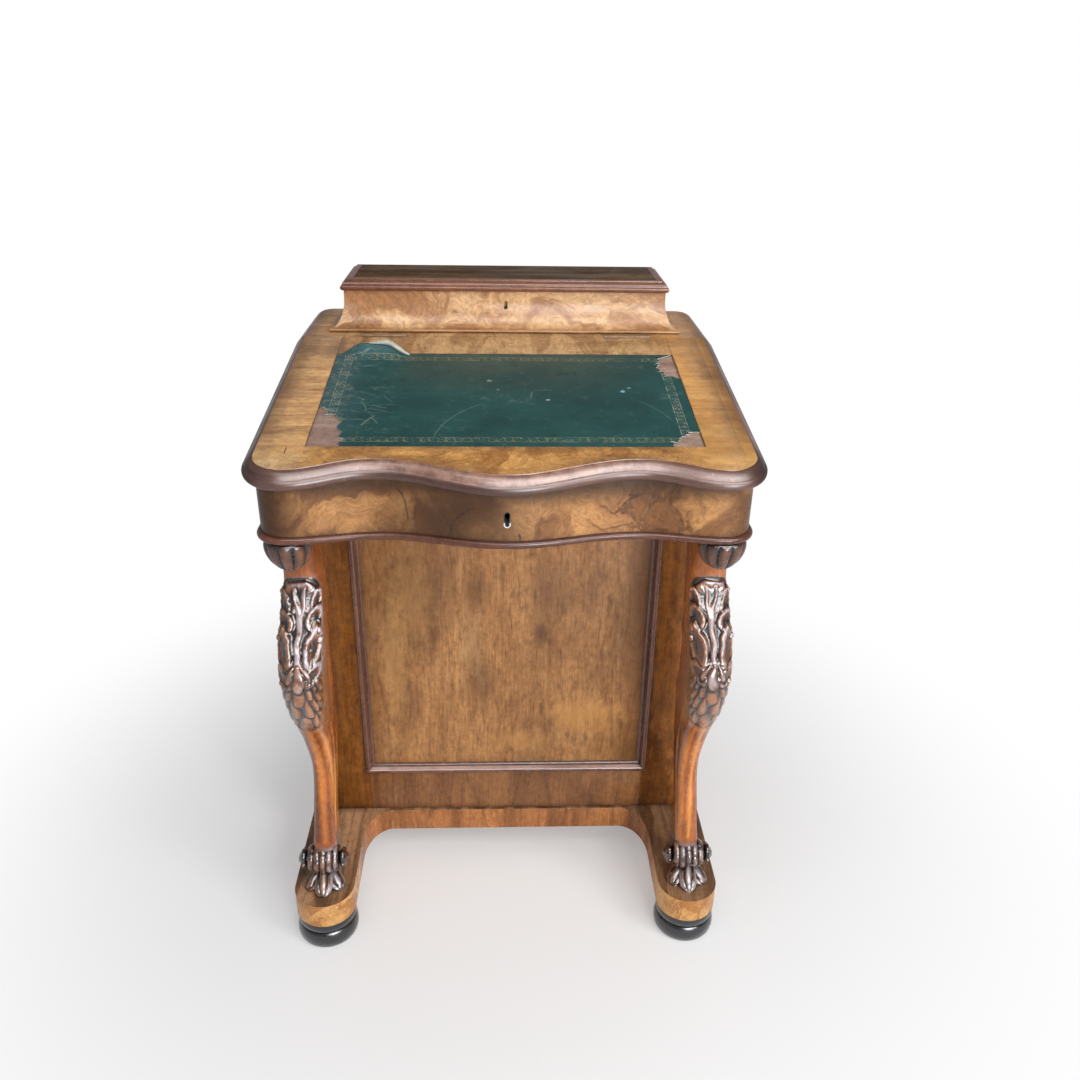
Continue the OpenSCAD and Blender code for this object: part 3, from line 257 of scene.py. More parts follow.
def surface(name, body, finish, grids, stands_for=(), crease=38, masks=None):
    """Joins grids of points into one closed piece. A grid is an array of rows x columns x 3 in millimetres: each
    cell is one quad, its map runs in metres along the rows and columns, and edges that coincide are welded."""
    points, faces, runs, first = [], [], [], 0
    for grid in grids:
        rows, columns = grid.shape[:2]
        along = np.r_[0, np.cumsum(np.linalg.norm(np.diff(grid, axis=0), axis=2).mean(1))]
        round_ = np.r_[0, np.cumsum(np.linalg.norm(np.diff(grid, axis=1), axis=2).mean(0))]
        number = first + np.arange(rows * columns).reshape(rows, columns)
        quads = rows_of(number[:-1, :-1], number[1:, :-1], number[1:, 1:], number[:-1, 1:])
        points.append(grid.reshape(-1, 3))
        faces.append(quads.reshape(-1, 4))
        runs.append(rows_of(along[:, None], round_[None, :]).reshape(-1, 2))
        first += rows * columns
    mesh = bpy.data.meshes.new(name)
    mesh.from_pydata(np.concatenate(points) / 1000, [], np.concatenate(faces))
    corner = np.empty(len(mesh.loops), np.int32)
    mesh.loops.foreach_get("vertex_index", corner)
    run = mesh.uv_layers.new(name="run")
    run.data.foreach_set("uv", (np.concatenate(runs)[corner] / 1000).astype(np.float32).ravel())
    if masks is not None:
        depth = mesh.attributes.new("carved", "FLOAT", "POINT")
        depth.data.foreach_set("value", np.concatenate([m.ravel() for m in masks]).astype(np.float32))
    reworked(mesh, lambda shape: bmesh.ops.remove_doubles(shape, verts=shape.verts, dist=3e-6),
             lambda shape: bmesh.ops.recalc_face_normals(shape, faces=shape.faces))
    mesh.set_sharp_from_angle(angle=math.radians(crease))
    return dressed(name, mesh, body, finish, stands_for)


def rows_of(*columns):
    """Rows of numbers from their columns, which may differ in shape."""
    return np.stack(np.broadcast_arrays(*columns), -1)


def capped(rings):
    """Closes a grid's first and last rows on their own middle."""
    ends = [np.broadcast_to(rings[k].mean(0), rings[k].shape)[None] for k in (0, -1)]
    return np.concatenate([ends[0], rings, ends[1]])


def turned(profile, steps=64):
    """A turning about Z: radius and height of the profile, swept through a full circle."""
    a = np.linspace(0, 2 * np.pi, steps + 1)[None, :]
    r, z = np.array(profile, float).T[:, :, None]
    return rows_of(r * np.cos(a), r * np.sin(a), z)


def group(name, ins, outs):
    """A new node group with named inputs (a kind, or a number and so its default) and outputs; returns the tree, what
    comes in and what goes out."""
    tree = bpy.data.node_groups.new(name, "ShaderNodeTree")
    for title, value in ins.items():
        kind = value if isinstance(value, str) else "Float"
        socket = tree.interface.new_socket(title, in_out="INPUT", socket_type="NodeSocket" + kind)
        if kind == "Float":
            socket.default_value = value
    for title, kind in outs.items():
        tree.interface.new_socket(title, in_out="OUTPUT", socket_type="NodeSocket" + kind)
    return tree, Node(tree, tree.nodes.new("NodeGroupInput")), Node(tree, tree.nodes.new("NodeGroupOutput"))


def skin(out, hue, relief, strength, distance, **given):
    """Joins a surface of this colour and relief (the relief's strength, and its depth in metres) to the output."""
    bump = put(out.tree, "Bump", Strength=strength, Distance=distance, Height=relief)[0]
    made = put(out.tree, "BsdfPrincipled", Base_Color=hue, Normal=bump, **given)
    out[0] = made[0]
    return made


# Dirt gathers in corners where no cloth reaches, and the darkening there is also painted shade; handling leaves
# smudges on a polished face.
grime_and_shade, ins, outs = group("grime_and_smudges", {"Place": "Vector", "Reach": 0.012},
                         {"Dirt_and_shade": "Float", "Smudge": "Float"})
corner_shade = put(grime_and_shade, "AmbientOcclusion", samples=4, Distance=ins["Reach"])["AO"]
cloud = ins["Place"].noise(38, 4, 0.65)
outs["Dirt_and_shade"] = (1.0 - corner_shade).calc("MULTIPLY", cloud.fade(0.25, 0.6, 0.5, 1.3), clamp=True)
outs["Smudge"] = ins["Place"].noise(13, 6, 0.7, 0.6).fade(0.35, 0.7)

# Knocks along an arris take the colour down to bare wood in short broken runs.
wear, ins, outs = group("worn_arris", {"Place": "Vector", "Width": 0.0012, "Bare": 0.5}, {"Mask": "Float"})
eased_way = put(wear, "Bevel", samples=4, Radius=ins["Width"])[0]
facing = put(wear, "NewGeometry")["Normal"]
turned_by = 1.0 - put(wear, "VectorMath", eased_way, facing, operation="DOT_PRODUCT")["Value"]
patchy = ins["Place"].noise(70, 5, 0.7)
chance = patchy + ins["Bare"] * 0.4 > 0.72
outs["Mask"] = turned_by.fade(0.03, 0.2).calc("MULTIPLY", chance, clamp=True)

ebonised, out, place = new_finish("ebonised_polish")
dulled_and_shaded = place.grown(grime_and_shade)
bare = place.grown(wear, Bare=0.35)["Mask"]
black = bare.mix((0.008, 0.009, 0.012), (0.09, 0.045, 0.02))
# darker in the grooves and corners, as dirt and as painted shade
black = (dulled_and_shaded["Dirt_and_shade"] * 0.6).mix(black, (0.03, 0.025, 0.02))
orange_peel = place.noise(160, 2)
skin(out, black, orange_peel, 0.08, 0.001, Roughness=dulled_and_shaded["Smudge"].fade(0, 1, 0.16, 0.34), Coat_Weight=1.0,
     Coat_Roughness=0.2)


def ring(r, z0, z1):
    """One rounded ring of the turning: a flattened arc from height z0 to z1 whose widest radius is r."""
    a = np.radians(np.linspace(-60, 60, 17))
    return rows_of(r - (z1 - z0) * 0.3 * (1 - np.cos(a)),
                   (z0 + z1) / 2 + (z1 - z0) / 2 * np.sin(a) / np.sin(np.pi / 3))


foot = np.concatenate([[[0, 0], [34, 0]], ring(41, 0, 24.6), [[33.5, 24.9], [33.5, 25.8]], ring(39.4, 26.1, 41),
                       [[35.3, 41], [0, 41]]])
feet = [turned(foot, 80) + np.array([x, y, 0]) for x in (-247.5, 247.5) for y in (-185, 219)]
surface("ebonised_feet", "desk", ebonised, feet, ["bun_feet"])

# ---- plinth ----
# A U-shaped platform: two arms with round front ends and hollow inner corners, and the
# board between them. Walnut on top, the edges faced with cross-cut and burr veneer.


def toned(hue, by):
    """A colour made lighter or darker by a factor."""
    return mix(by.tree, 1.0, hue, put(by.tree, "CombineColor", by, by, by)[0], "MULTIPLY")


# Straight-grown walnut: grain runs along X of Place. Slow streaks, growth lines that wander,
# fine fibres, and pores that show as short dark dashes.
figured = {"Place": "Vector", "Light": "Color", "Mid": "Color", "Dark": "Color"}
grown_out = {"Color": "Color", "Relief": "Float"}
grain, ins, outs = group("walnut_grain", {**figured, "Lines": 0.5, "Streaks": 1.0}, grown_out)
here = ins["Place"]
sway = put(grain, "TexNoise", Vector=here, Scale=5, Detail=2)["Color"].vector("SUBTRACT", (0.5, 0.5, 0.5))
swayed = here.vector("ADD", sway.vector("MULTIPLY", (0, 0.03, 0.03)))
drawn = swayed.vector("MULTIPLY", (0.09, 1, 1))
streak = drawn.noise(34, 6, 0.62)
rings = (drawn.noise(9, 2) * 13.0).calc("PINGPONG", 0.5).fade(0.36, 0.5)
dashes = swayed.vector("MULTIPLY", (0.035, 1, 1))
fibre = dashes.noise(520, 2)
pores = dashes.noise(1500, 1).fade(0.6, 0.72)
hue = ((streak - 0.5) * ins["Streaks"]).fade(-0.16, 0.16).mix(ins["Mid"], ins["Light"])
hue = (rings * ins["Lines"]).mix(hue, ins["Dark"])
hue = (pores * 0.42).mix(hue, ins["Dark"])
speckle = here.noise(120, 5, 0.75)
outs["Color"] = toned(hue, fibre.fade(0.3, 0.7, 0.86, 1.12) * speckle.fade(0.3, 0.7, 0.8, 1.2))
outs["Relief"] = fibre * 0.4 - pores * 0.6

# Burr walnut: clouds of gold and brown drawn into swirls, broken contour lines, and small dark eyes.
burr, ins, outs = group("burr_figure", {**figured, "Scale": 1.0, "Swirl": 0.6, "Eyes": 0.7}, grown_out)
sized = ins["Place"].scaled(ins["Scale"])
drift = put(burr, "TexNoise", Vector=sized, Scale=10, Detail=4, Roughness=0.55)["Color"]
drifted = sized.vector("ADD", drift.vector("SUBTRACT", (0.5, 0.5, 0.5)).scaled(0.13))
cloud = drifted.noise(15, 6, 0.62, 0.9)
blotch = sized.noise(9, 4, 0.62)
curl = (cloud * 7.5).calc("PINGPONG", 0.5).fade(0.24, 0.5) * blotch.fade(0.44, 0.66)
spots = put(burr, "TexVoronoi", Vector=drifted, Scale=75, Randomness=1)["Distance"]
eyes = spots.fade(0.26, 0.08) * blotch.fade(0.54, 0.68)
silk = drifted.noise(200, 4, 0.72)
hue = cloud.fade(0.4, 0.6).mix(ins["Mid"], ins["Light"])
hue = blotch.fade(0.5, 0.74, 0, 0.6).mix(hue, mix(burr, 0.45, ins["Dark"], ins["Mid"]))
hue = (curl * ins["Swirl"]).mix(hue, ins["Dark"])
hue = (eyes * ins["Eyes"]).mix(hue, ins["Dark"])
outs["Color"] = toned(hue, silk.fade(0.3, 0.7, 0.74, 1.24))
outs["Relief"] = silk * 0.4 - eyes


def polish(out, place, hue, relief, gloss=0.26, dirt=0.55, bare=0.45, arris=0.0012,
           bare_wood=(0.42, 0.22, 0.09), coat=0.15, shine=0.3, coat_rough=0.12):
    """French polish over a figured ground: corners darkened as gathered soil and as painted shade, arrises worn pale,
    smudged gloss, open pores.
    """
    lived_and_shaded = place.grown(grime_and_shade)
    wear_and_sheen = place.grown(wear, arris, bare)["Mask"]
    hue = (wear_and_sheen * 0.6).mix(hue, bare_wood)
    # corners go darker, as dirt and as painted shade
    hue = (lived_and_shaded["Dirt_and_shade"] * dirt).mix(hue, (0.012, 0.006, 0.003))
    skin(out, hue, relief, 0.35, 0.0002, Coat_Weight=coat, Coat_Roughness=coat_rough, Specular_IOR_Level=shine,
         Roughness=lived_and_shaded["Smudge"].fade(0, 1, gloss, gloss + 0.16))


ways = {"x": (0, 0, 0), "y": (0, 0, -math.pi / 2), "z": (0, math.pi / 2, 0)}


def walnut(name, way, light, mid, dark, lines, streaks, at=(0, 0, 0), run=False, **given):
    """Polished straight-grained walnut whose grain runs along x, y or z, or along the piece's own run."""
    made, out, place = new_finish(name)
    ground = put(out.tree, "UVMap", uv_map="run")[0] if run else place
    wood = ground.moved(Rotation=ways[way], Location=at).grown(grain, light, mid, dark, lines, streaks)
    polish(out, place, wood["Color"], wood["Relief"], **given)
    return made


def eased(node, finish, round_):
    """A planed board with its arrises rounded by a few strokes of fine paper, in place of its plain solid."""
    mesh = frame["nodes"][node].data.copy()
    mesh.name = node + "_eased"
    reworked(mesh, lambda shape: bmesh.ops.remove_doubles(shape, verts=shape.verts, dist=1e-6),
             lambda shape: bmesh.ops.dissolve_limit(shape, angle_limit=0.01, verts=shape.verts, edges=shape.edges))
    mesh.materials.clear()
    piece = dressed(mesh.name, mesh, frame["nodes"][node]["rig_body"], finish, [node])
    return eased_arrises(piece, round_)


# The top faces are quiet brown walnut; upright faces carry veneer cut across the board,
# and the round ends of the arms a golden burr with pin knots.
plinth_finish, out, place = new_finish("plinth_veneers")
lie = put(out.tree, "NewGeometry")["Normal"].z
deep = place.moved(Rotation=ways["y"]).grown(grain, (0.52, 0.285, 0.145), (0.16, 0.078, 0.035), (0.05, 0.022, 0.01),
                                             0.4, 1.3)
cut = place.moved(Rotation=ways["z"]).grown(grain, (0.5, 0.195, 0.06), (0.27, 0.095, 0.027), (0.08, 0.025, 0.008),
                                            0.25, 1.4)
knots = place.grown(burr, (0.72, 0.38, 0.13), (0.44, 0.18, 0.05), (0.09, 0.03, 0.009), 1.6, 0.3, 1.0)
at_end = place.y.fade(-0.12, -0.14)
edge = at_end.mix(cut["Color"], knots["Color"])
upper = place.x.fade(0.14, 0.24, 0, 0.4).mix(deep["Color"], (0.09, 0.037, 0.014))
hue = lie.fade(0.5, 0.8).mix(edge, upper)
polish(out, place, hue, deep["Relief"], dirt=0.7, bare=0.5, bare_wood=(0.5, 0.28, 0.12))


def sawn(name, body, finish, plan, z0, z1, stands_for, round_):
    """A board sawn to a plan: the outline [x, y] raised from z0 to z1, flat above and below, arrises eased."""
    plan = np.asarray(plan, float)
    n = len(plan)
    points = np.concatenate([np.c_[plan, np.full(n, z0)], np.c_[plan, np.full(n, z1)]]) / 1000
    i = np.arange(n)
    walls = rows_of(i, (i + 1) % n, (i + 1) % n + n, i + n).tolist()
    mesh = bpy.data.meshes.new(name)
    mesh.from_pydata(points, [], walls + [i[::-1].tolist(), (i + n).tolist()])
    reworked(mesh, lambda shape: bmesh.ops.recalc_face_normals(shape, faces=shape.faces))
    return eased_arrises(dressed(name, mesh, body, finish, stands_for), round_)


plinth_foot, plinth_top = 41, 77
a = np.linspace(np.pi / 2, 0, 25)
b = np.linspace(np.pi, 2 * np.pi, 49)
arm_plan = np.concatenate([
    [[287.5, 260], [207.5, 260], [207.5, -37]],
    rows_of(207.5 - 38 * (1 - np.cos(a)), -37 - 61 * (1 - np.sin(a))),
    rows_of(247.5 + 40 * np.cos(b), -185 + 40 * np.sin(b))])
for side, name in ((-1, "plinth_arm_left"), (1, "plinth_arm_right")):
    sawn(name + "_veneered", "desk", plinth_finish, arm_plan * (side, 1), plinth_foot, plinth_top, [name],
         0.9)
eased("plinth_board", plinth_finish, 0.5)

# ---- pedestal ----
# Frame-and-panel front and back: stiles and rails round a flat figured panel, with a thin
# dark bolection moulding mitred round it. The left side is one board with dummy drawers.


def stained(hue, *layers):
    """Lays tints over a colour, each by its share and only where its field has faded from low to high."""
    for field, low, high, share, tint in layers:
        hue = field.fade(low, high, 0, share).mix(hue, tint)
    return hue


stile_wood, out, place = new_finish("stile_walnut")
plank = place.moved(Rotation=ways["z"]).grown(grain, (0.26, 0.088, 0.015), (0.115, 0.036, 0.006),
                                              (0.045, 0.014, 0.003), 0.35, 0.8)
mottled = place.moved(Scale=(1, 1, 0.4)).noise(60, 6, 0.75)
hue = stained(plank["Color"], (mottled, 0.5, 0.34, 0.5, (0.36, 0.135, 0.03)),
              (mottled, 0.52, 0.7, 0.6, (0.05, 0.016, 0.004)))
polish(out, place, hue, plank["Relief"], dirt=0.9, coat=0.0, shine=0.2)
rail_wood = walnut("cross_banded_rail", "z", (0.33, 0.142, 0.05), (0.19, 0.074, 0.025), (0.05, 0.018, 0.008), 0.3,
                   0.8, at=(0.3, 0.1, 0.7), dirt=0.8)
side_wood = walnut("side_walnut", "z", (0.33, 0.15, 0.055), (0.19, 0.08, 0.028), (0.06, 0.022, 0.009), 0.6, 1.0,
                   at=(0.9, 0.4, 0.1))
# the moulding is dark; only the crown of its lowest run, where it faces up, is painted pale in patches as a highlight
moulding_wood, out, place = new_finish("dark_moulding_walnut")
strip = place.moved(Rotation=ways["z"]).grown(grain, (0.19, 0.07, 0.038), (0.09, 0.03, 0.017), (0.03, 0.01, 0.007),
                                              0.2, 0.9)
upward_highlight = put(out.tree, "NewGeometry")["Normal"].z.fade(0.35, 0.75)
lowest = place.z.fade(0.1535, 0.1525)
patchy = place.noise(22, 4, 0.6).fade(0.35, 0.6, 0.6, 0.95)
hue = (upward_highlight * lowest * patchy).mix(strip["Color"], (0.66, 0.47, 0.42))
polish(out, place, hue, strip["Relief"], gloss=0.22, coat=1.0, shine=0.35, bare=0.1, coat_rough=0.13)

# The panel: one leaf of walnut, mottled and flecked, darker in broad clouds and towards its edges.
panel_wood, out, place = new_finish("panel_walnut")
leaf = place.moved(Rotation=ways["z"], Location=(0.2, 0.5, 0.3))
leaf = leaf.grown(grain, (0.52, 0.25, 0.09), (0.36, 0.155, 0.048), (0.12, 0.045, 0.015), 0.25, 0.8)
patch = place.moved(Scale=(1, 1, 0.45)).noise(7, 5, 0.65, 0.4)
flecks = place.moved(Scale=(1, 1, 0.12)).noise(260, 2, 0.6)
mottled = place.moved(Scale=(1, 1, 0.5)).noise(75, 6, 0.75)
hue = stained(leaf["Color"], (mottled, 0.5, 0.34, 0.5, (0.64, 0.33, 0.12)),
              (mottled, 0.51, 0.69, 0.65, (0.16, 0.066, 0.02)), (patch, 0.44, 0.72, 0.75, (0.13, 0.054, 0.02)),
              (flecks, 0.52, 0.74, 0.5, (0.12, 0.046, 0.016)), (abs(place.x), 0.13, 0.2, 0.4, (0.13, 0.05, 0.018)))
# patches of tint, one by one: place x and z, half width and height, strength and colour; the dark one at the right
# edge is painted shade beside the moulding
for px, pz, wide, tall, strength, tint in (
        (-0.04, 0.445, 0.02, 0.03, 0.5, (0.1, 0.04, 0.018)), (0.055, 0.45, 0.025, 0.05, 0.45, (0.12, 0.05, 0.025)),
        (0.047, 0.375, 0.01, 0.022, 0.7, (0.09, 0.035, 0.02)), (-0.036, 0.3, 0.022, 0.045, 0.55, (0.11, 0.05, 0.022)),
        (-0.14, 0.25, 0.02, 0.05, 0.5, (0.12, 0.05, 0.02)), (0.11, 0.24, 0.055, 0.035, 0.55, (0.68, 0.33, 0.09)),
        (0.02, 0.195, 0.07, 0.022, 0.4, (0.64, 0.31, 0.09)), (-0.05, 0.36, 0.02, 0.06, 0.3, (0.5, 0.34, 0.16)),
        (-0.13, 0.44, 0.03, 0.1, 0.3, (0.6, 0.32, 0.1)), (-0.155, 0.34, 0.02, 0.13, 0.4, (0.62, 0.34, 0.11)),
        (0.19, 0.44, 0.03, 0.2, 0.5, (0.12, 0.05, 0.025)), (0.0, 0.56, 0.2, 0.03, 0.4, (0.2, 0.07, 0.025))):
    at_x = (place.x - px) / wide
    at_z = (place.z - pz) / tall
    off = (at_x * at_x + at_z * at_z).calc("SQRT") + (mottled - 0.5) * 2.2
    hue = stained(hue, (off, 1.3, 0.1, strength, tint))
polish(out, place, hue, leaf["Relief"], gloss=0.3, dirt=0.6, bare=0.2)

for face in ("front", "back"):
    eased(face + "_stiles", stile_wood, 0.5)
    eased(face + "_rails", rail_wood, 0.5)
    eased(face + "_panel", panel_wood, 0.5)
for node in ("left_side", "right_posts"):
    eased(node, side_wood, 0.5)
rail_side_wood = walnut("drawer_rail_walnut", "y", (0.3, 0.13, 0.05), (0.18, 0.07, 0.026), (0.06, 0.022, 0.01), 0.3,
                        0.9)
eased("drawer_rails", rail_side_wood, 0.5)

# Section of the bolection: a lap on the frame, a round crown and a small hollow down to the panel.
a = np.radians(np.linspace(8, 172, 15))
h = np.linspace(0, np.pi / 2, 7)
bolection = np.concatenate([[[0, -7], [7, -7], [7, -6.2]],
                            rows_of(6.6 - 3.6 * np.sin(h), -6.2 + 3.8 * (1 - np.cos(h))),
                            [[2.2, -1.2]], rows_of(-1.9 + 3.1 * np.cos(a), 1.5 + 2.3 * np.sin(a)),
                            [[-5, 1.2], [-5, 0], [0, 0], [0, -7]]])
ring_corners = np.array([[-1, 0], [1, 0], [1, 1], [-1, 1], [-1, 0]])
half_opening, opening_foot, opening_head = 200, 150, 580
for face, name in ((lambda y: -32 - y, "front_panel_moulding"), (lambda y: 255 + y, "back_panel_moulding")):
    inward, over = bolection.T
    x = ring_corners[:, :1] * (half_opening - inward)
    z = np.where(ring_corners[:, 1:] == 0, opening_foot + inward, opening_head - inward)
    surface(name + "_run", "desk", moulding_wood, [rows_of(x, face(over), z)], [name], 30)

# ---- drawers ----
# Four mahogany-lined drawers open to the right; each front is burr walnut with two turned
# walnut knobs. Dummy fronts with the same knobs answer them on the left side.
a = np.radians(np.linspace(-40, 90, 19))
knob = np.concatenate([[[0, 0], [10.8, 0], [11.1, 0.8], [10.8, 1.9], [7.6, 3.4], [6.3, 5.2], [6.2, 8.6], [8.8, 10.2]],
                       rows_of(15 * np.cos(a), 15.64 + 7.36 * np.sin(a))[2:]])
knob_wood = walnut("knob_walnut", "x", (0.26, 0.1, 0.035), (0.15, 0.052, 0.018), (0.05, 0.016, 0.007), 0.3, 0.8,
                   gloss=0.2, coat=0.3)
front_wood, out, place = new_finish("drawer_burr")
figure = place.moved(Location=(0.3, 0.2, 0.6)).grown(burr, (0.5, 0.25, 0.09), (0.28, 0.12, 0.04), (0.08, 0.03, 0.012),
                                                     1.0, 0.7, 0.8)
polish(out, place, figure["Color"], figure["Relief"])
knob_set = turned(knob, 56)[..., [2, 0, 1]]
lining_wood = walnut("drawer_lining", "x", (0.42, 0.2, 0.085), (0.3, 0.13, 0.05), (0.14, 0.05, 0.02), 0.3, 0.8,
                     gloss=0.55, coat=0.0, dirt=0.5, bare_wood=(0.5, 0.28, 0.14))
front_high, half_high, pitch = 114.15, 57, 131.75
for i in range(4):
    z0 = plinth_top + pitch * i + 16.8
    for x0, x1, body, name in ((232, 252, f"drawer_{i + 1}", f"drawer_{i + 1}_front"),
                               (-252, -247, "desk", f"dummy_{i + 1}")):
        # the front is a board with a shallow cock-bead run round it, standing on its lower edge
        rim = [[-3.2, z0], [226.2, z0], [226.2, z0 + front_high], [-3.2, z0 + front_high]]
        s = 1 if x1 > 0 else -1
        face_x, back_x = (x1, x0) if s > 0 else (x0, x1)
        steps = [(0, back_x), (0, face_x - s * 0.6), (0.3, face_x - s * 0.1), (1.4, face_x), (2.4, face_x - s * 0.1),
                 (2.8, face_x - s * 1.1), (3.4, face_x - s * 1.1)]
        loops = [[[x, rim[k][0] + (d if k in (0, 3) else -d), rim[k][1] + (d if k < 2 else -d)]
                  for k in (0, 1, 2, 3, 0)] for d, x in steps]
        rear, middle = ([[[x, 111.5, z0 + half_high]] * 5] for x in (back_x, steps[-1][1]))
        panel = surface(name + "_veneered" if s > 0 else name + "_front", body, front_wood,
                        [np.array(rear + loops + middle, float)], [name] if s > 0 else (), 25)
        turned_knobs = [knob_set * (s, 1, 1) + np.array([s * 252 - s * 1.1, y, z0 + 57.07]) for y in (42.2, 180.8)]
        surface(name + "_knobs", body, knob_wood, turned_knobs)
        if s < 0 and i == 0:
            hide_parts("dummy_fronts", "dummy_knobs")
    eased(f"drawer_{i + 1}_box", lining_wood, 0.6)
eased("drawer_runners", lining_wood, 0.5)

# ---- cabriole supports ----
# Two solid walnut brackets, carved on the knee with an acanthus leaf and ended below in a
# scroll with rosettes on a ribbed leaf. Old polish lies black in the hollows, deepened with painted shade, and the
# crowns are rubbed bright and painted with highlights; the side away from the light is painted darker as shade.
stations = np.array([[77, 0.21, -0.07, 40.5, 1], [121, 0.26, -0.14, 32.4, 0.9], [183.2, 0.15, -0.11, 27, 0.6],
                     [245.3, 0, 0.18, 27.8, 0.4], [311.4, 0.26, 0.09, 36, 0.35], [377.5, 0.77, -0.14, 42.3, 0.3],
                     [443.5, 1, -0.41, 45, 0.25], [500.4, 0.62, -0.32, 45, 0.15], [541, 0.3, -0.18, 43.2, 0.1],
                     [580, 0.36, 0, 42.3, 0.05], [620, 33 / 82, 0.36, 44.1, 0]])
# Leaflets, from the top down: height of the middle, place round the front (inner side below 0), half height in mm,
# half width, lean and relief in mm. Then the pearls between them: height and place.
leaflets = np.array([[529, 0, 19, 0.6, 0, 2.0], [523, -0.5, 15, 0.3, -0.1, 2.8], [522, 0.5, 15, 0.3, 0.1, 2.8],
                     [507, -0.43, 14, 0.37, -0.12, 3.3], [505, 0.43, 14, 0.37, 0.12, 3.3],
                     [479, -0.43, 25, 0.38, -0.1, 4.3], [477, 0.43, 25, 0.38, 0.1, 4.3],
                     [451, -0.4, 15, 0.36, -0.16, 3.7], [449, 0.4, 15, 0.36, 0.16, 3.7]])
pearls = np.array([[533, 0.62], [497, 0.56], [486, 0.66], [441, 0.52]])


def smooth_through(rows, t):
    """A Catmull-Rom curve through the rows at place t, counted in rows."""
    i = np.floor(t).astype(int)
    u = (t - i)[:, None]
    a, b, c, d = (rows[np.clip(i + k, 0, len(rows) - 1)] for k in (-1, 0, 1, 2))
    return b + u * (c - a) / 2 + u**2 * (a - 2.5 * b + 2 * c - d / 2) + u**3 * (1.5 * b - a / 2 - 1.5 * c + d / 2)


def step_up(x, low, high):
    """0 below low, 1 above high, eased between."""
    t = np.clip((x - low) / (high - low), 0, 1)
    return t * t * (3 - 2 * t)


